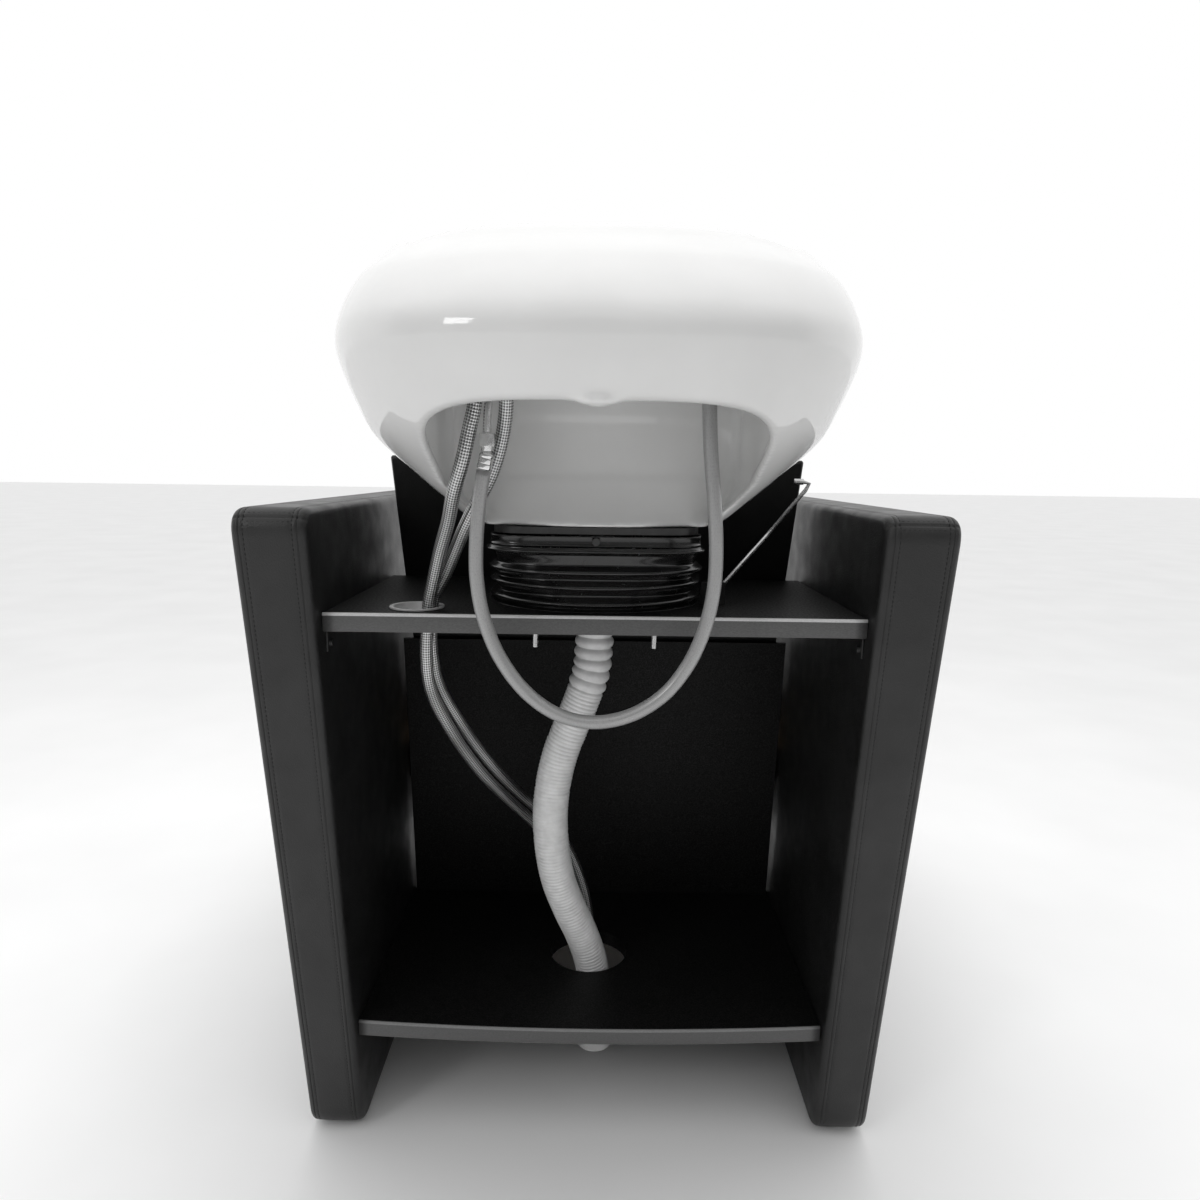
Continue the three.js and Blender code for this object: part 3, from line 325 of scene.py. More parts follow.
# ---- Mesh helpers ----
def new_object(name, points, faces, look, uvs=None, smooth=True):
    mesh = bpy.data.meshes.new(name)
    mesh.from_pydata([tuple(p) for p in points], [], [tuple(f) for f in faces])
    mesh.materials.append(look)
    mesh.polygons.foreach_set("use_smooth", [smooth] * len(mesh.polygons))
    if uvs is not None:
        layer = mesh.uv_layers.new(name="UVMap")
        layer.data.foreach_set("uv", np.asarray(uvs, np.float32).ravel())
    made = bpy.data.objects.new(name, mesh)
    bpy.context.scene.collection.objects.link(made)
    return made


def outward(obj):
    """Turns the faces of a closed mesh to point out."""
    work = bmesh.new()
    work.from_mesh(obj.data)
    bmesh.ops.recalc_face_normals(work, faces=work.faces)
    work.to_mesh(obj.data)
    work.free()
    return obj


def ring_faces(rows, sides, looped=False):
    faces = []
    for row in range(rows if looped else rows - 1):
        below, above = row * sides, (row + 1) % rows * sides
        for i in range(sides):
            j = (i + 1) % sides
            faces.append((below + i, below + j, above + j, above + i))
    return faces


def from_rings(name, rings, look, looped=False):
    """A closed skin through rings of points: capped at both ends, or joined end to end."""
    rings = np.asarray(rings, float)
    rows, sides = rings.shape[:2]
    faces = ring_faces(rows, sides, looped)
    if not looped:
        faces.append(tuple(range(sides - 1, -1, -1)))
        faces.append(tuple((rows - 1) * sides + i for i in range(sides)))
    return outward(new_object(name, rings.reshape(-1, 3), faces, look))


def smooth_line(points, step):
    """A centripetal Catmull-Rom line through the points, resampled evenly."""
    points = np.array([tuple(p) for p in points], float)
    first, last = 2 * points[0] - points[1], 2 * points[-1] - points[-2]
    padded = np.vstack([first, points, last])
    fine = []
    for a, b, c, d in zip(padded, padded[1:], padded[2:], padded[3:]):
        gaps = [max(np.linalg.norm(q - p), 1e-9) ** 0.5 for p, q in ((a, b), (b, c), (c, d))]
        knots = np.cumsum([0] + gaps)
        for t in np.linspace(knots[1], knots[2], 12, endpoint=False):
            low = [(knots[i + 1] - t) / (knots[i + 1] - knots[i]) for i in range(3)]
            pairs = enumerate(((a, b), (b, c), (c, d)))
            ab, bc, cd = (low[i] * p + (1 - low[i]) * q for i, (p, q) in pairs)
            first_mix = (knots[2] - t) / (knots[2] - knots[0])
            last_mix = (knots[3] - t) / (knots[3] - knots[1])
            left = first_mix * ab + (1 - first_mix) * bc
            right = last_mix * bc + (1 - last_mix) * cd
            fine.append(low[1] * left + (1 - low[1]) * right)
    fine = np.array(fine + [points[-1]])
    along = np.concatenate([[0], np.cumsum(np.linalg.norm(np.diff(fine, axis=0), axis=1))])
    wanted = np.linspace(0, along[-1], max(3, int(round(along[-1] / step)) + 1))
    return np.stack([np.interp(wanted, along, fine[:, k]) for k in range(3)], axis=1)


def tube(name, line, radius, look, sides=20):
    """A round tube along a line. radius is a number or one for each point; UV is turns and metres."""
    line = np.asarray(line, float)
    radius = np.broadcast_to(radius, len(line))
    tangents = np.gradient(line, axis=0)
    tangents /= np.linalg.norm(tangents, axis=1)[:, None]
    across = np.cross(tangents[0], (0, 1, 0.2))
    across /= np.linalg.norm(across)
    angles = np.linspace(0, 2 * math.pi, sides, endpoint=False)
    rings = []
    for point, tangent, size in zip(line, tangents, radius):
        across = across - tangent * np.dot(across, tangent)
        across /= np.linalg.norm(across)
        other = np.cross(tangent, across)
        rings.append(point + size * (np.cos(angles)[:, None] * across + np.sin(angles)[:, None] * other))
    rings = np.array(rings)
    along = np.concatenate([[0], np.cumsum(np.linalg.norm(np.diff(line, axis=0), axis=1))])
    faces, uvs = [], []
    for row in range(len(rings) - 1):
        for i in range(sides):
            j = (i + 1) % sides
            faces.append((row * sides + i, row * sides + j, (row + 1) * sides + j, (row + 1) * sides + i))
            u0, u1 = i / sides, (i + 1) / sides
            uvs += [(u0, along[row]), (u1, along[row]), (u1, along[row + 1]), (u0, along[row + 1])]
    for cap in (range(sides - 1, -1, -1), range((len(rings) - 1) * sides, len(rings) * sides)):
        faces.append(tuple(cap))
        uvs += [(0, 0)] * sides
    return new_object(name, rings.reshape(-1, 3), faces, look, uvs)


def turned(name, profile, centre, look, sides=56, axis=None):
    """A turned piece from closed [radius, height] points, round Z or another axis."""
    angles = np.linspace(0, 2 * math.pi, sides, endpoint=False)
    rings = [
        [(r * math.cos(a), r * math.sin(a), z) for a in angles] for r, z in profile
    ]
    made = from_rings(name, rings, look, looped=True)
    turn = Matrix.Identity(4) if axis is None else Vector(axis).to_track_quat("Z", "Y").to_matrix().to_4x4()
    made.data.transform(Matrix.Translation(centre) @ turn)
    return made


def rounded(profile, radius, steps=4):
    """The closed profile again with each corner rounded by about radius."""
    points = np.array(profile, float)
    out = []
    for before, here, after in zip(np.roll(points, 1, 0), points, np.roll(points, -1, 0)):
        back, ahead = before - here, after - here
        reach = min(radius, 0.45 * np.linalg.norm(back), 0.45 * np.linalg.norm(ahead))
        start = here + back / max(np.linalg.norm(back), 1e-9) * reach
        end = here + ahead / max(np.linalg.norm(ahead), 1e-9) * reach
        for t in np.linspace(0, 1, steps + 1):
            out.append((1 - t) ** 2 * start + 2 * t * (1 - t) * here + t * t * end)
    return out


def add_modifier(obj, name, kind, **values):
    made = obj.modifiers.new(name, kind)
    for key, value in values.items():
        setattr(made, key, value)
    return made


def finished(obj, body, slot, *nodes):
    """Rides on its body and stands for its CAD nodes, which it hides. The slot argument is not used."""
    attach(obj, body)
    if nodes:
        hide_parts(*nodes)
    return obj


# ---- Cords ----
COLD_ROUTE = [
    (-0.105, -0.015, 0.8604), (-0.105, -0.015, 0.845), (-0.1065, -0.015, 0.822),
    (-0.112, -0.014, 0.800), (-0.1183, -0.012, 0.7753), (-0.1279, -0.002, 0.749),
    (-0.1375, 0.020, 0.721), (-0.150, 0.042, 0.691), (-0.160, 0.057, 0.660),
    (-0.167, 0.0645, 0.634), (-0.1695, 0.065, 0.612), (-0.1715, 0.067, 0.583),
    (-0.1715, 0.075, 0.553), (-0.168, 0.091, 0.525), (-0.157, 0.111, 0.490),
    (-0.146, 0.137, 0.456), (-0.130, 0.162, 0.420), (-0.112, 0.188, 0.387),
    (-0.093, 0.209, 0.358), (-0.072, 0.225, 0.330), (-0.052, 0.236, 0.300),
    (-0.036, 0.243, 0.262), (-0.024, 0.247, 0.220), (-0.017, 0.250, 0.175),
    (-0.013, 0.251, 0.130), (-0.012, 0.251, 0.090), (-0.012, 0.251, 0.0605),
]
HOT_ROUTE = [
    (-0.079, -0.015, 0.8604), (-0.079, -0.015, 0.847), (-0.080, -0.006, 0.8227),
    (-0.0835, 0.002, 0.802), (-0.0895, 0.008, 0.7802), (-0.0978, 0.014, 0.760),
    (-0.1098, 0.022, 0.7396), (-0.1236, 0.034, 0.7157), (-0.1369, 0.054, 0.6907),
    (-0.1515, 0.070, 0.6625), (-0.1625, 0.076, 0.644), (-0.167, 0.078, 0.624),
    (-0.1685, 0.079, 0.604), (-0.1685, 0.081, 0.583), (-0.167, 0.089, 0.556),
    (-0.162, 0.104, 0.530), (-0.1495, 0.122, 0.497), (-0.1375, 0.1465, 0.464),
    (-0.121, 0.1705, 0.429), (-0.103, 0.196, 0.396), (-0.084, 0.217, 0.367),
    (-0.063, 0.234, 0.338), (-0.042, 0.245, 0.306), (-0.024, 0.254, 0.266),
    (-0.010, 0.258, 0.222), (-0.0025, 0.261, 0.176), (0.002, 0.262, 0.130),
    (0.003, 0.262, 0.090), (0.003, 0.262, 0.0605),
]
DRAIN_ROUTE = [
    (0, 0.165, 0.6104), (0, 0.165, 0.590), (-0.001, 0.165, 0.568), (-0.003, 0.165, 0.547),
    (-0.009, 0.165, 0.525), (-0.017, 0.165, 0.502), (-0.027, 0.165, 0.476),
    (-0.038, 0.165, 0.446), (-0.046, 0.165, 0.411), (-0.050, 0.165, 0.370),
    (-0.048, 0.168, 0.326), (-0.041, 0.176, 0.280), (-0.027, 0.186, 0.235),
    (-0.013, 0.195, 0.198), (-0.002, 0.201, 0.162), (0.004, 0.206, 0.128),
    (0.006, 0.209, 0.098), (0.006, 0.209, 0.084), (0.006, 0.209, 0.0706),
]
SPRAY_ROUTE = [
    (-0.0995, -0.015, 0.7664), (-0.1015, -0.015, 0.754), (-0.104, -0.015, 0.738),
    (-0.107, -0.015, 0.706), (-0.1072, -0.015, 0.670), (-0.101, -0.015, 0.6335),
    (-0.086, -0.015, 0.5965), (-0.061, -0.015, 0.5635), (-0.031, -0.015, 0.5435),
    (0.0015, -0.015, 0.5375), (0.035, -0.015, 0.545), (0.065, -0.015, 0.565),
    (0.0865, -0.015, 0.594), (0.100, -0.015, 0.627), (0.107, -0.015, 0.664),
    (0.1076, -0.015, 0.700), (0.1038, -0.015, 0.744), (0.099, -0.015, 0.787),
    (0.0964, -0.015, 0.824), (0.096, -0.015, 0.850), (0.096, -0.015, 0.8897),
]
SUPPLY_RADIUS = 0.0065
SPRAY_RADIUS = 0.0065
DRAIN_RADIUS = 0.0205
CUFF_PITCH = 0.0125  # wide ribs below the upper cuff
FINE_PITCH = 0.0046
WIDE_RIBS = 7
DARK_RINGS = [0.155, 0.215, 0.275]  # how far along the drain hose its shallow rings are


def supply_hoses():
    for side, route in (("cold", COLD_ROUTE), ("hot", HOT_ROUTE)):
        line = smooth_line([place(*p) for p in route], 4 * MM)
        node = f"supply_hose_{side}"
        hose = tube(f"hose_{side}", line, SUPPLY_RADIUS, LOOKS["braided_hose"], 24)
        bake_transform(hose)
        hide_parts(node)
        nut = union_nut(side)


def union_nut(side):
    low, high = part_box(f"supply_nut_{side}")
    centre = (low + high) / 2
    height = high.z - low.z
    hexagon = [
        (centre.x + r * math.cos(a), centre.y + r * math.sin(a), low.z + z)
        for r, z in ((0.0069, 0), (0.0071, 0.001), (0.0071, height * 0.62), (0.0069, height * 0.65))
        for a in (math.pi / 3 * k for k in range(6))
    ]
    nut = new_object(f"union_nut_{side}", hexagon, ring_faces(4, 6), LOOKS["chrome"], smooth=False)
    collar = [(4.4, 65), (5.9, 65), (6.3, 68), (6.3, 97), (5.9, 100), (4.4, 100)]
    profile = [(r * MM, low.z + height * share / 100) for r, share in collar]
    ring = turned(f"union_collar_{side}", profile, (centre.x, centre.y, 0), LOOKS["chrome"], 32)
    ends = new_object(
        f"union_end_{side}",
        [(centre.x + r * math.cos(a), centre.y + r * math.sin(a), low.z + z)
         for r, z in ((0.0071, 0.0004), (0.0045, 0.0004), (0.0045, 0.01))
         for a in (math.pi / 12 * k for k in range(24))],
        ring_faces(3, 24), LOOKS["chrome"],
    )
    nut = joined(nut, [ring, ends])
    return finished(nut, "frame", "chrome", f"supply_nut_{side}")


def joined(first, others):
    """One object from several, keeping the first one's name."""
    bpy.context.view_layer.update()
    work = bmesh.new()
    for piece in [first, *others]:
        start = len(work.verts)
        work.from_mesh(piece.data)
        work.verts.ensure_lookup_table()
        bmesh.ops.transform(work, matrix=piece.matrix_world, verts=work.verts[start:])
    work.to_mesh(first.data)
    work.free()
    first.matrix_world = Matrix.Identity(4)
    for piece in others:
        bpy.data.objects.remove(piece)
    return first


def spray_hose():
    line = smooth_line([place(*p) for p in SPRAY_ROUTE], 5 * MM)
    hose = tube("spray_hose_skin", line, SPRAY_RADIUS, LOOKS["grey_hose"], 28)
    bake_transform(hose)
    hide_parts("spray_hose")
    ferrule = spray_ferrule()


def spray_ferrule():
    """The crimped sleeve between the nut and the hose, with its grooves."""
    top, bottom = place(-0.096, -0.015, 0.7824), place(*SPRAY_ROUTE[0])
    axis = top - bottom
    length = axis.length - 2 * MM
    shape = [(5.2, 0), (6.5, 0.02), (6.7, 0.1), (6.7, 0.3), (6.3, 0.34), (6.5, 0.38), (6.5, 0.62),
             (6.1, 0.66), (6.1, 0.72), (6.6, 0.76), (6.6, 0.88), (6.0, 0.93), (5.2, 1)]
    profile = [(1 * MM, 0)] + [(r * MM, share * length) for r, share in shape] + [(1 * MM, length)]
    made = turned("ferrule", rounded(profile, 0.3 * MM, 2), bottom + axis.normalized() * MM,
                  LOOKS["chrome"], 36, axis)
    return finished(made, "basin_assembly", "chrome", "spray_ferrule")


def drain_hose():
    line = smooth_line([place(*p) for p in DRAIN_ROUTE], 0.8 * MM)
    along = np.concatenate([[0], np.cumsum(np.linalg.norm(np.diff(line, axis=0), axis=1))])
    wide_end = WIDE_RIBS * CUFF_PITCH
    wide = 1.6 * MM * (np.abs(np.sin(math.pi * along / CUFF_PITCH)) ** 0.8 * 2 - 1.1)
    fine = 0.55 * MM * (np.abs(np.sin(math.pi * along / FINE_PITCH)) * 2 - 1.2)
    share = np.clip((along - wide_end) / (6 * MM), 0, 1)
    radius = DRAIN_RADIUS + wide * (1 - share) + fine * share
    from_joint = (along[:, None] - np.array(DARK_RINGS)) / (2.4 * MM)
    radius -= 0.5 * MM * np.exp(-(from_joint**2)).sum(1)
    plain = along > along[-1] - 12 * MM
    radius[plain] = DRAIN_RADIUS - 0.4 * MM
    hose = tube("drain_hose_skin", line, radius, LOOKS["drain_hose"], 44)
    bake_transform(hose)
    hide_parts("drain_hose")
    cuff = pipe_cuff("drain_end", "drain_end_cuff", "frame", 22.5, 20.2)


def pipe_cuff(name, node, body, outer, inner):
    """A short moulded sleeve with a small bead at each end."""
    low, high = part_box(node)
    centre = (low + high) / 2
    bead = 2.6
    height = (high.z - low.z) / MM
    profile = [
        (inner, 0.1), (outer - 0.4, 0), (outer, 0.4), (outer, bead), (outer - 0.7, bead + 0.8),
        (outer - 0.7, height - bead - 0.8), (outer, height - bead), (outer, height - 0.4),
        (outer - 0.4, height), (inner, height - 0.1),
    ]
    scaled = [(r * MM, low.z + z * MM) for r, z in profile]
    made = turned(name, scaled, (centre.x, centre.y, 0), LOOKS["white_plastic"], 56)
    return finished(made, body, "white_plastic", node)


supply_hoses()
spray_hose()
drain_hose()


# ---- Basin ----
# Rows of the outside and the inside: height, half width, rear Y, front Y, roundness.
BASIN_OUTSIDE = [
    (0.7137, 0.108, 0.052, 0.214, 5), (0.718, 0.124, 0.036, 0.224, 4.4),
    (0.737, 0.148, 0.006, 0.229, 3.6), (0.760, 0.173, -0.054, 0.234, 3.0),
    (0.794, 0.207, -0.124, 0.256, 2.8), (0.820, 0.222, -0.154, 0.294, 2.6),
    (0.860, 0.237, -0.168, 0.334, 2.6), (0.885, 0.238, -0.160, 0.345, 2.6),
    (0.920, 0.227, -0.122, 0.348, 2.6), (0.945, 0.212, -0.080, 0.345, 2.5),
    (0.958, 0.199, -0.062, 0.340, 2.5),
]
BASIN_INSIDE = [
    (0.739, 0.044, 0.121, 0.209, 2), (0.752, 0.088, 0.116, 0.214, 2.2),
    (0.780, 0.134, 0.110, 0.226, 2.4), (0.830, 0.186, 0.098, 0.280, 2.5),
    (0.880, 0.210, 0.084, 0.320, 2.5), (0.930, 0.197, 0.062, 0.328, 2.5),
    (0.970, 0.178, 0.054, 0.322, 2.4),
]
# Height, half width and hull Y of the space under the rear skirt.
RECESS = [
    (0.700, 0.096, 0.034), (0.714, 0.103, 0.049), (0.725, 0.114, 0.058), (0.740, 0.128, 0.066),
    (0.762, 0.139, 0.073), (0.800, 0.140, 0.077), (0.850, 0.140, 0.078), (0.872, 0.128, 0.070),
]
BASIN_CENTRE = 0.125
BASIN_DRAIN = 0.165
BASIN_WALL = 0.013
LIP_TOP = 0.817
LIP_SPRING = 0.762
LIP_HALF = 0.140
CEILING = 0.872
DECK_TOP = 0.885
SADDLE_TOP = 0.920
RIM_TOP, RIM_DROP = 0.956, 0.030
NOTCH_HEIGHT, NOTCH_RADIUS, NOTCH_START = 0.950, 0.080, 0.260
SKIRT_BOTTOM, SKIRT_TOP = 0.832, 0.940
HOLLOW_BOTTOM = 0.760
WASTE_HOLE_TOP = 0.760
# X, Y, radius and edge rounding of the waste, mixer and handset holes.
BASIN_HOLES = [(0, 0.165, 0.026, 5), (-0.092, -0.015, 0.021, 2), (0.096, -0.015, 0.014, 2)]
LIP_BUMP_Y = -0.150
GRID = 0.0025


def smooth_rows(keys, heights):
    """Each column of the keys at the heights, on a smooth curve through them."""
    keys = np.array(keys, float)
    z = keys[:, 0]
    before, after = np.maximum(np.arange(len(z)) - 1, 0), np.minimum(np.arange(len(z)) + 1, len(z) - 1)
    slopes = (keys[after] - keys[before]) / (z[after] - z[before])[:, None]
    i = np.clip(np.searchsorted(z, heights) - 1, 0, len(z) - 2)
    span = (z[i + 1] - z[i])[:, None]
    t = np.clip((heights - z[i])[:, None] / span, 0, 1)
    bend = slopes[i] * span * t * (1 - t) ** 2 - slopes[i + 1] * span * t**2 * (1 - t)
    return keys[i] + (keys[i + 1] - keys[i]) * t * t * (3 - 2 * t) + bend


def round_max(a, b, radius):
    """The larger of two distances, with the corner between them rounded."""
    reach = np.maximum(radius - np.abs(a - b), 0) / radius
    return np.maximum(a, b) + reach * reach * radius / 4


def round_min(a, b, radius):
    return -round_max(-a, -b, radius)


def oval(x, y, half, back, front, n):
    """About how far points lie outside an oval with different reach to the rear and front."""
    reach = np.where(y > 0, front, back)
    share = (np.abs(x / half) ** n + np.abs(y / reach) ** n) ** (1 / n)
    far = np.hypot(x, y)
    return far - far / np.maximum(share, 1e-4)


def basin_surface():
    """The basin as a field of distances, cut and rounded, and the skin at its zero."""
    low = np.array([-0.2525, -0.1825, 0.7025])
    high = np.array([0.2525, 0.3625, 0.9725])
    xs, ys, zs = (np.arange(low[k], high[k], GRID) for k in range(3))
    x, y, z = np.meshgrid(xs, ys, zs, indexing="ij", sparse=True)

    def loft(keys, centre, inset=0.0):
        rows = smooth_rows(keys, zs)
        half, back, front, n = (rows[:, k][None, None, :] for k in (1, 2, 3, 4))
        return oval(x, y - centre, half - inset, centre - back - inset, front - inset - centre, n)

    outside = loft(BASIN_OUTSIDE, BASIN_CENTRE)
    forward = np.clip((y - 0.10) / 0.22, 0, 1)
    rim = RIM_TOP - RIM_DROP * forward**2 * (3 - 2 * forward)
    body = round_max(outside, z - rim, 10 * MM)
    body = round_max(body, BASIN_OUTSIDE[0][0] - z, 3 * MM)
    inside = np.maximum(loft(BASIN_INSIDE, BASIN_DRAIN), BASIN_INSIDE[0][0] - z)
    body = round_max(body, -inside, 8 * MM)

    rows = smooth_rows(RECESS, np.minimum(zs, CEILING))
    half, hull = rows[:, 1][None, None, :], rows[:, 2][None, None, :]
    bow = 0.026 * np.minimum(np.abs(x / half), 1.05) ** 2
    column = round_max(np.abs(x) - half, y - hull - bow, 24 * MM)
    column = round_max(column, z - CEILING, 10 * MM)
    arch = LIP_SPRING + (LIP_TOP - LIP_SPRING) * np.maximum(1 - np.abs(x / LIP_HALF) ** 4.5, 0) ** (1 / 4.5)
    mouth = round_max(column, z - arch, 8 * MM)

    inset = np.maximum(loft(BASIN_OUTSIDE, BASIN_CENTRE, BASIN_WALL), HOLLOW_BOTTOM - z)
    under = np.maximum(np.maximum(SKIRT_BOTTOM - z, z - CEILING), y - 0.070)
    around = np.maximum(np.maximum(CEILING - 0.001 - z, z - SKIRT_TOP), y - 0.040)
    pocket = np.maximum(np.abs(x) - 0.171, -0.057 - y)
    around = np.maximum(around, -pocket)
    hollow = round_min(column, round_min(under, around, 8 * MM), 8 * MM)
    hollow = round_max(inset, hollow, 8 * MM)
    body = round_max(body, -round_min(mouth, hollow, 5 * MM), 6 * MM)

    deck = np.maximum(oval(x, y, 0.158, 0.044, 0.044, 5.0), DECK_TOP - z)
    saddle = np.maximum(oval(x, y - 0.031, 0.150, 0.061, 0.061, 6.0), SADDLE_TOP - z)
    body = round_max(body, -round_min(deck, saddle, 8 * MM), 9 * MM)
    notch = np.maximum(np.hypot(x, z - NOTCH_HEIGHT) - NOTCH_RADIUS, NOTCH_START - y)
    body = round_max(body, -notch, 8 * MM)
    for hx, hy, radius, edge in BASIN_HOLES:
        hole = np.hypot(x - hx, y - hy) - radius + 0 * z
        if hy > 0.1:
            hole = np.maximum(hole, z - WASTE_HOLE_TOP)
        body = round_max(body, -hole, edge * MM)

    knob = np.sqrt((x / 13) ** 2 + ((y - LIP_BUMP_Y) / 9) ** 2 + ((z - 0.8165) / 4.2) ** 2) / MM
    knob = (knob - 1) * 4.2 * MM
    body = round_min(body, knob, 5 * MM)
    slot = (x / 6.5) ** 2 + ((y - LIP_BUMP_Y + 0.0085) / 3) ** 2 + ((z - 0.8160) / 1.1) ** 2
    slot = np.sqrt(slot) / MM - 1
    body = np.maximum(body, -slot * 1.1 * MM)

    grid = openvdb.FloatGrid(1.0)
    grid.copyFromArray(np.ascontiguousarray(body, dtype=np.float32))
    grid.transform = openvdb.createLinearTransform(voxelSize=GRID)
    points, quads = grid.convertToQuads(isovalue=0.0)
    return points + low + np.array([0, REAR, 0]), quads


def basin():
    points, quads = basin_surface()
    made = new_object("basin_shell", points, quads, LOOKS["glazed_ceramic"])
    outward(made)
    add_modifier(made, "even", "SMOOTH", factor=0.5, iterations=4)
    finished(made, "basin_assembly", "glazed_ceramic", "basin")


basin()


# ---- Side panels ----
PANEL_TOP = 0.731
PANEL_LENGTH = 0.900
PANEL_REAR_SLANT = 0.078
PANEL_FRONT_SLANT = 0.040
PANEL_TAPER = 0.009
PANEL_THICKNESS = 0.072
PANEL_CORNER = 0.028
PANEL_BOTTOM = PANEL_LOW.z
INNER_HALF = 0.265
SEAM = 8.6  # of the seams in from both faces, in millimetres
STITCH_IN = 13.4  # of the rows of stitches, likewise
ARC_STEPS = 24  # steps round each corner of a panel's outline
EDGE_STEPS = 41  # steps along each of its edges


def panel_outline(margin):
    """Y and Z round a side panel seen from the side, moved in by margin, and the outward direction."""
    top, bottom = PANEL_TOP - margin, PANEL_BOTTOM + margin
    corners = []
    for z, front in ((bottom, False), (bottom, True), (top, True), (top, False)):
        share = 1 - z / PANEL_TOP
        front_edge = PANEL_LENGTH - PANEL_FRONT_SLANT * share - margin
        rear_edge = PANEL_REAR_SLANT * share + margin
        edge = front_edge if front else rear_edge
        corners.append(np.array([edge, z]))
    radius = max(PANEL_CORNER - margin, 1.5 * MM)
    points = []
    for i, here in enumerate(corners):
        before, after = corners[i - 1], corners[(i + 1) % 4]
        start = here + (before - here) / np.linalg.norm(before - here) * radius
        end = here + (after - here) / np.linalg.norm(after - here) * radius
        nxt = after + (here - after) / np.linalg.norm(here - after) * radius
        for t in np.linspace(0, 1, ARC_STEPS + 1):
            points.append((1 - t) ** 2 * start + 2 * t * (1 - t) * here + t * t * end)
        for t in np.linspace(0, 1, EDGE_STEPS + 1)[1:-1]:
            points.append(end + (nxt - end) * t)
    points = np.array(points)
    along = np.roll(points, -1, 0) - np.roll(points, 1, 0)
    out = np.stack([along[:, 1], -along[:, 0]], 1)
    return points, out / np.linalg.norm(out, axis=1)[:, None]


def panel_section():
    """Across the panel's thickness from the middle of one face to the other: (x, inset) in mm."""
    face = [(1.5, 210), (0.5, 120), (0.0, 60), (0.0, 30), (0.15, 17), (0.5, 10)]
    arc = [(0.6 + 8 * (1 - math.cos(a)), 0.7 + 8 * (1 - math.sin(a))) for a in np.linspace(0.25, 1.45, 7)]
    seam = [(SEAM - 0.5, 0.75), (SEAM, 2.3), (SEAM + 0.6, 0.8), (SEAM + 2, 0.35)]
    dimple = [(STITCH_IN - 1.2, 0.3), (STITCH_IN, 0.75), (STITCH_IN + 1.2, 0.25)]
    half = face + arc + seam + dimple + [(18, 0.08), (25, 0.0), (32, 0.0)]
    width = PANEL_THICKNESS / MM
    return half + [(width - x, inset) for x, inset in reversed(half)]


def lean(x, z):
    """X of a point across the panel's thickness, with the outer face leaning in to the floor."""
    share = x / PANEL_THICKNESS
    return INNER_HALF + x - PANEL_TAPER * share * (1 - z / PANEL_TOP)


SEAM_AT = 3 * (ARC_STEPS + EDGE_STEPS) + 13  # the outline's point that the cross seam runs over


def side_panels():
    section = panel_section()
    base, out = panel_outline(0)
    ridge = np.zeros(len(base))
    ridge[SEAM_AT] = 1.5 * MM
    for side, sign in SIDES:
        rings = []
        for x, inset in section:
            ring = panel_outline(inset * MM)[0]
            if inset < 5:
                ring = ring - out * ridge[:, None]
            rings.append([(sign * lean(x * MM, z), y + REAR, z) for y, z in ring])
        made = from_rings(f"panel_{side}", rings, LOOKS["leatherette"])
        finished(made, "frame", "leatherette", f"side_panel_cover_{side}")
        stitches = panel_stitches(side, sign)
        finished(stitches, "frame", "leatherette")


def panel_stitches(side, sign):
    """Rows of stitches along both seams, and two across the strip beside the cross seam."""
    places = []
    for x in (STITCH_IN, PANEL_THICKNESS / MM - STITCH_IN):
        ring = panel_outline(0.55 * MM)[0]
        loop = [Vector((sign * lean(x * MM, z), y + REAR, z)) for y, z in ring]
        places.append(loop + loop[:1])
    for shift, depth in ((-3, 0.25), (3, 0.25)):
        y, z = panel_outline(depth * MM)[0][SEAM_AT + shift]
        first, last = (STITCH_IN + 1) * MM, PANEL_THICKNESS - (STITCH_IN + 1) * MM
        xs = np.linspace(first, last, 12)
        places.append([Vector((sign * lean(x, z), y + REAR, z)) for x in xs])
    points, faces = [], []
    for path in places:
        add_stitches(points, faces, path, 4.6 * MM, 3.2 * MM, 0.42 * MM)
    return new_object(f"panel_stitches_{side}", points, faces, THREAD)


def add_stitches(points, faces, path, pitch, length, radius):
    """Short spindles of thread along a path."""
    path = np.array([tuple(p) for p in path])
    along = np.concatenate([[0], np.cumsum(np.linalg.norm(np.diff(path, axis=0), axis=1))])
    for centre in np.arange(pitch / 2, along[-1] - pitch / 2, pitch):
        ends = [
            Vector([np.interp(centre + d, along, path[:, k]) for k in range(3)])
            for d in (-length / 2, -length / 4, length / 4, length / 2)
        ]
        axis = (ends[3] - ends[0]).normalized()
        side = axis.orthogonal().normalized()
        other = axis.cross(side)
        start = len(points)
        points.append(ends[0])
        for middle in ends[1:3]:
            for k in range(5):
                angle = 2 * math.pi * k / 5
                points.append(middle + radius * (math.cos(angle) * side + math.sin(angle) * other))
        points.append(ends[3])
        for k in range(5):
            a, b = start + 1 + k, start + 1 + (k + 1) % 5
            faces.append((start, b, a))
            faces.append((a, b, b + 5, a + 5))
            faces.append((a + 5, b + 5, start + 11))


side_panels()


# ---- Shelf edges ----
EDGE_THICKNESS = 2.2 * MM
ARRIS_DROP = 3.0 * MM


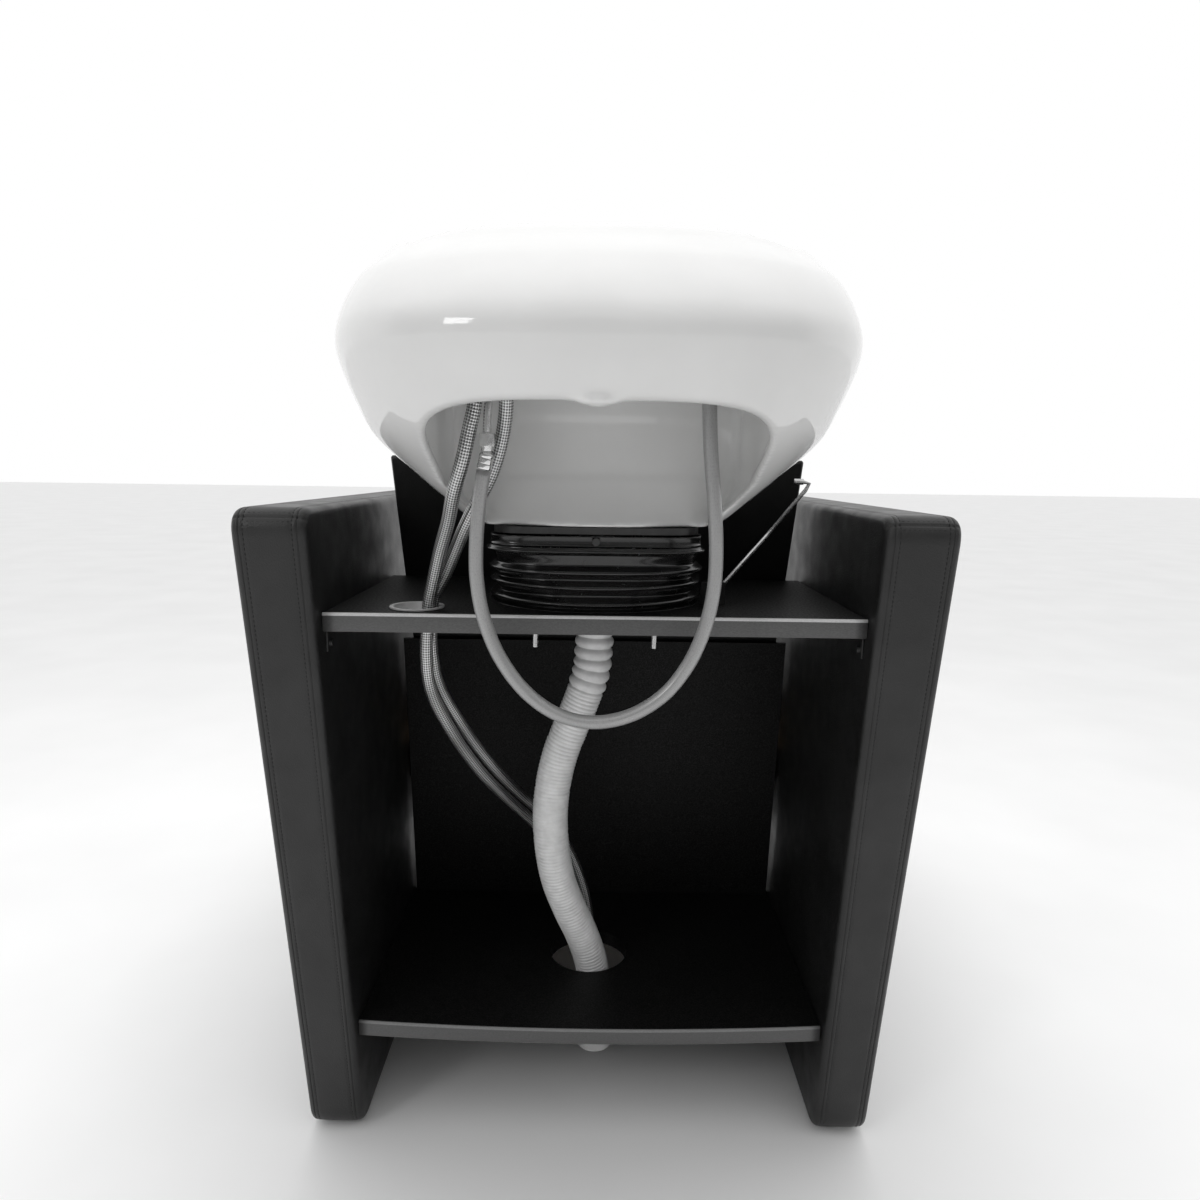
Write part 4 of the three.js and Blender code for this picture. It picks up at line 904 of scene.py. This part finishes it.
def edge_strip(node, name, bow, painted_highlight_look):
    """A moulded edge band with a rounded arris on top, straight or bowed; the arris's top faces take a
    second, lighter material as a painted highlight.
    """
    low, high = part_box(node)
    thick = EDGE_THICKNESS
    height = high.z - low.z
    section = rounded([(0, 0), (thick, 0), (thick, height), (0, height)], 0.8 * MM, 3)
    arris = [
        (thick * 0.98 * (1 - math.cos(a)), height - ARRIS_DROP * (1 - math.sin(a)))
        for a in np.linspace(0, 1.5, 7)
    ]
    section = [p for p in section if not (p[0] < thick * 0.6 and p[1] > height * 0.5)]
    section = section + [np.array(p) for p in arris][::-1]
    section.sort(key=lambda p: math.atan2(p[1] - height / 2, p[0] - thick / 2))
    rings = []
    for x in np.linspace(low.x, high.x, 41):
        share = x / high.x
        rear = high.y - thick - bow * (1 - share * share)
        rings.append([(x, rear + p[0], low.z + p[1]) for p in section])
    made = from_rings(name, rings, LOOKS["grey_edging"])
    made.data.materials.append(painted_highlight_look)
    # Faces along the top arris get the lighter second material: a painted highlight.
    for face in made.data.polygons:
        middle = face.center.z - low.z
        if abs(face.normal.x) < 0.5 and middle > height - 3.1 * MM and face.normal.y < 0.3:
            face.material_index = 1
    finished(made, "frame", "grey_edging", node)


edge_strip("upper_shelf_edging", "upper_edge", 0.0, PAINTED_HIGHLIGHT_EDGE)
# The lower shelf edge's top arris gets a dimmer painted highlight.
edge_strip("lower_shelf_edging", "lower_edge", 11 * MM, edge_band("lower_edge_painted_highlight", 0.16, 0.22))


# ---- Bellows and collar ----
BELLOWS_RIDGES = [
    (0, 116), (0.042, 110), (0.105, 116), (0.239, 107), (0.372, 115), (0.49, 106),
    (0.608, 114), (0.733, 105), (0.874, 106), (0.937, 113), (1, 109),
]
FOOT = (0.108, 0.052, 0.214)  # half width, rear and front Y of the basin's foot


def superellipse(half, back, front, n, centre, z, sides=160):
    angles = np.linspace(0, 2 * math.pi, sides, endpoint=False)
    cos, sin = np.cos(angles), np.sin(angles)
    reach = np.where(sin > 0, front - centre, centre - back)
    x = half * np.sign(cos) * np.abs(cos) ** (2 / n)
    y = centre + reach * np.sign(sin) * np.abs(sin) ** (2 / n)
    return np.stack([x, y + REAR, np.full(sides, z)], 1)


def bellows():
    low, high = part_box("bellows")
    rows = []
    for (s0, r0), (s1, r1) in zip(BELLOWS_RIDGES, BELLOWS_RIDGES[1:]):
        for t in np.linspace(0, 1, 7, endpoint=False):
            ease = 0.5 - 0.5 * math.cos(math.pi * t)
            rows.append((s0 + (s1 - s0) * t, r0 + (r1 - r0) * ease))
    rows.append(BELLOWS_RIDGES[-1])

    def ring(share, radius, inset):
        r = radius * MM - inset
        square = share**2
        back = 0.165 - r + (0.048 - 0.056) * square
        front = 0.165 + r - (radius - 52) * MM * square
        centre = 0.165 + (BASIN_CENTRE - 0.165) * square
        return superellipse(r, back, front, 2.1 + 2.2 * square, centre, low.z + (high.z - low.z) * share)

    rings = [ring(s, r, 0) for s, r in rows] + [ring(s, r, 3 * MM) for s, r in reversed(rows)]
    made = from_rings("bellows_skin", rings, LOOKS["bellows_rubber"], looped=True)
    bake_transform(made)
    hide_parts("bellows")


def collar():
    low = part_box("bellows_collar")[0]
    half, back, front = FOOT
    rows = [(5, 0.2), (0.8, 0), (0.1, 0.6), (0, 1.6), (0.5, 2.6), (0.9, 3.4), (0.9, 8.2), (0.5, 9.2),
            (0.1, 10), (0.8, 10.7), (5, 10.5)]
    rings = [
        superellipse(half - i * MM, back + i * MM, front - i * MM, 5, BASIN_CENTRE, low.z + h * MM)
        for i, h in rows
    ]
    made = from_rings("collar", rings, LOOKS["bellows_rubber"], looped=True)
    finished(made, "basin_assembly", "bellows_rubber", "bellows_collar")


bellows()
collar()


# ---- Cushions ----
WELT_RADIUS = 2.2 * MM


def evaluated_points(obj):
    depsgraph = bpy.context.evaluated_depsgraph_get()
    mesh = obj.evaluated_get(depsgraph).to_mesh()
    points = np.zeros(len(mesh.vertices) * 3, np.float32)
    mesh.vertices.foreach_get("co", points)
    obj.evaluated_get(depsgraph).to_mesh_clear()
    return points.reshape(-1, 3).astype(float)


def baked(obj):
    """Replaces the mesh by what its modifiers make of it."""
    depsgraph = bpy.context.evaluated_depsgraph_get()
    mesh = bpy.data.meshes.new_from_object(obj.evaluated_get(depsgraph))
    obj.modifiers.clear()
    obj.data = mesh
    mesh.polygons.foreach_set("use_smooth", [True] * len(mesh.polygons))


def inflate(obj, voxel, limit, pressure=4.0, frames=20):
    """Blows the closed form up as cloth, with no point moving further than limit."""
    add_modifier(obj, "even", "REMESH", mode="VOXEL", voxel_size=voxel)
    baked(obj)
    start = evaluated_points(obj)
    cloth = add_modifier(obj, "cloth", "CLOTH")
    cloth.settings.quality = 5
    cloth.settings.use_pressure = True
    cloth.settings.uniform_pressure_force = pressure
    cloth.settings.effector_weights.gravity = 0
    cloth.settings.tension_stiffness = 12
    cloth.settings.compression_stiffness = 12
    cloth.settings.bending_stiffness = 0.6
    for number in range(1, frames + 1):
        bpy.context.scene.frame_set(number)
    moved = evaluated_points(obj) - start
    bpy.context.scene.frame_set(1)
    obj.modifiers.remove(cloth)
    far = np.linalg.norm(moved, axis=1)
    keep = limit * np.tanh(far / limit) / np.maximum(far, 1e-9)
    points = (start + moved * keep[:, None]).astype(np.float32)
    obj.data.vertices.foreach_set("co", points.ravel())
    obj.data.update()
    add_modifier(obj, "even_out", "SMOOTH", factor=0.5, iterations=3)
    add_modifier(obj, "fine", "SUBSURF", levels=1, render_levels=1)
    baked(obj)


def slab(name, outline, half, inset):
    """A closed block through an outline in the YZ plane, from -half to half, with eased ends."""
    centre = np.mean(outline, axis=0)
    rings = []
    for x, shrink in ((-half, inset), (-half + inset, 0), (half - inset, 0), (half, inset)):
        arms = np.array(outline) - centre
        moved = [centre + arm * (1 - shrink / np.linalg.norm(arm)) for arm in arms]
        rings.append([(x, y, z) for y, z in moved])
    return from_rings(name, rings, LOOKS["leatherette"])


def welt(name, points):
    """Piping round a cushion, through the points, set half into its skin."""
    made = tube(name, smooth_line(points, 6 * MM), WELT_RADIUS, LOOKS["leatherette"], 10)
    finished(made, "frame", "leatherette")


def skin_loop(obj, centre, first, second, count=72):
    """Points where rays in the plane of the two directions leave the skin."""
    bpy.context.view_layer.update()
    tree = BVHTree.FromObject(obj, bpy.context.evaluated_depsgraph_get())
    points = []
    for angle in np.linspace(0, 2 * math.pi, count, endpoint=False):
        ray = first * math.cos(angle) + second * math.sin(angle)
        hit = tree.ray_cast(centre, ray)[0]
        if hit is not None:
            points.append(hit)
    return points + points[:1]


def seat_cushion():
    low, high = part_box("seat_cushion")
    inset = 5 * MM
    y0, y1, z0, z1 = low.y + inset, high.y - inset, low.z + 1 * MM, high.z - 7 * MM
    outline = rounded([(y0, z0), (y1, z0), (y1, z1), (y0, z1)], 22 * MM, 6)
    made = slab("seat_pad", outline, high.x - 5 * MM, 14 * MM)
    inflate(made, 7 * MM, 12 * MM)
    clip_to(made, low, high)
    finished(made, "frame", "leatherette", "seat_cushion")
    for label, height in (("top", z1 - 12 * MM), ("bottom", z0 + 12 * MM)):
        centre = Vector((0, (y0 + y1) / 2, height))
        points = skin_loop(made, centre, Vector((high.x, 0, 0)), Vector((0, (y1 - y0) / 2, 0)))
        welt(f"seat_welt_{label}", points)


def clip_to(obj, low, high, margin=2 * MM):
    """Keeps a soft piece in its own space, so that it stays clear of its neighbours."""
    points = np.zeros(len(obj.data.vertices) * 3, np.float32)
    obj.data.vertices.foreach_get("co", points)
    points = points.reshape(-1, 3)
    points[:, 0] = np.clip(points[:, 0], low.x - margin, high.x + margin)
    points[:, 1] = np.clip(points[:, 1], low.y - margin, high.y + margin)
    points[:, 2] = np.clip(points[:, 2], low.z, high.z + 3 * margin)
    obj.data.vertices.foreach_set("co", points.ravel())
    obj.data.update()


BACK_RECLINE = 0.38
BACK_REAR_AT_TOP = 0.276
BACK_TOP = 0.782
BACK_BOTTOM = 0.486
BOARD_FACE = 14.6 * MM  # depth of the board's front face, with a little room


def back_point(depth, height):
    """Y and Z of a point in the backrest, depth in front of its rear face, at a height."""
    slant = math.hypot(1, BACK_RECLINE)
    return (REAR + BACK_REAR_AT_TOP + BACK_RECLINE * (BACK_TOP - height) + depth * slant, height)


def back_cushion():
    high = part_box("backrest_cushion")[1]
    z0, z1 = BACK_BOTTOM + 8 * MM, BACK_TOP - 8 * MM
    near, far = 15 * MM, 70 * MM
    corners = [back_point(near, z0), back_point(far, z0), back_point(far, z1), back_point(near, z1)]
    made = slab("back_pad", rounded(corners, 20 * MM, 6), high.x - 6 * MM, 14 * MM)
    inflate(made, 7 * MM, 9 * MM)
    keep_front_of_board(made)
    finished(made, "frame", "leatherette", "backrest_cushion")
    up = Vector((0, -BACK_RECLINE, 1)).normalized()
    y, z = back_point(32 * MM, (z0 + z1) / 2)
    points = skin_loop(made, Vector((0, y, z)), Vector((1, 0, 0)), up)
    welt("back_welt", points)


def keep_front_of_board(obj):
    """Flattens the cushion's rear against its board."""
    for vertex in obj.data.vertices:
        rear = back_point(BOARD_FACE, vertex.co.z)[0]
        if vertex.co.y < rear:
            vertex.co.y = rear


seat_cushion()
back_cushion()


# ---- Hard pieces that keep their CAD shape ----
def refined():
    """Gives each CAD piece that still shows its look, clean normals and a small edge radius."""
    slots = {p["node"]: p["material_slot"] for p in frame["record"]["subparts"]}
    edges = {"backrest_board": 2.5, "upper_shelf": 0.5, "lower_shelf": 0.5, "front_wall": 0.5,
             "seat_board": 1.0, "front_fascia": 1.5, "neck_rest": 2.5}
    for name, piece in frame["nodes"].items():
        if piece.hide_render:
            continue
        mesh = piece.data
        mesh.materials.clear()
        mesh.materials.append(LOOKS[slots[name]])
        if mesh.attributes.get("custom_normal"):
            mesh.attributes.remove(mesh.attributes["custom_normal"])
        mesh.polygons.foreach_set("use_smooth", [True] * len(mesh.polygons))
        add_modifier(piece, "weld", "WELD", merge_threshold=0.02 * MM)
        add_modifier(
            piece, "edge", "BEVEL", width=edges.get(name, 0.35) * MM, segments=2, limit_method="ANGLE",
            angle_limit=math.radians(35), harden_normals=False, use_clamp_overlap=True,
        )
        add_modifier(piece, "flat_sides", "WEIGHTED_NORMAL", keep_sharp=True)


refined()


# ---- Stage ----
DIM = 0.28  # strength of the dim side of the world
FLOOR_HALF = 30


def area_light(name, where, target, size, power):
    data = bpy.data.lights.new(name, "AREA")
    data.shape = "RECTANGLE"
    data.size, data.size_y = size
    data.energy = power
    lamp = bpy.data.objects.new(name, data)
    bpy.context.scene.collection.objects.link(lamp)
    lamp.location = where
    lamp.rotation_euler = (Vector(target) - Vector(where)).to_track_quat("-Z", "Y").to_euler()
    return lamp


def studio_world():
    """White behind the object and overhead, dim at the camera's side of the room."""
    world = bpy.data.worlds.new("studio")
    world.use_nodes = True
    tree = world.node_tree
    direction = tree.nodes.new("ShaderNodeTexCoord")
    parts = tree.nodes.new("ShaderNodeSeparateXYZ")
    tree.links.new(direction.outputs["Generated"], parts.inputs["Vector"])
    ramps = []
    for axis, start, end in (("Y", -0.25, 0.2), ("Z", 0.25, 0.8)):
        ramp = tree.nodes.new("ShaderNodeMapRange")
        ramp.interpolation_type = "SMOOTHSTEP"
        for key, number in (("From Min", start), ("From Max", end), ("To Min", DIM), ("To Max", 1)):
            ramp.inputs[key].default_value = number
        tree.links.new(parts.outputs[axis], ramp.inputs["Value"])
        ramps.append(ramp.outputs["Result"])
    larger = tree.nodes.new("ShaderNodeMath")
    larger.operation = "MAXIMUM"
    tree.links.new(ramps[0], larger.inputs[0])
    tree.links.new(ramps[1], larger.inputs[1])
    background = tree.nodes["Background"]
    background.inputs["Color"].default_value = (1, 1, 1, 1)
    tree.links.new(larger.outputs[0], background.inputs["Strength"])
    bpy.context.scene.world = world


def make_stage():
    look = Look("floor_paint", grey(0.9), 0.7)
    look.colour(look.noise(0.4, 3), grey(0.88), grey(0.92))
    corners = [(x * FLOOR_HALF, y * FLOOR_HALF, 0) for x, y in ((-1, -1), (1, -1), (1, 1), (-1, 1))]
    floor = new_object("floor", corners, [(0, 1, 2, 3)], look.material, smooth=False)
    studio_world()
    centre = place(0, 0.25, 0.6)
    overhead = area_light("overhead", place(0, 0.3, 2.6), centre, (1.4, 0.9), 22)
    overhead.visible_glossy = False
    area_light("rear_left", place(-1.6, -1.6, 1.7), centre, (0.5, 0.5), 5)
    bpy.context.scene.view_settings.view_transform = "Standard"


make_stage()
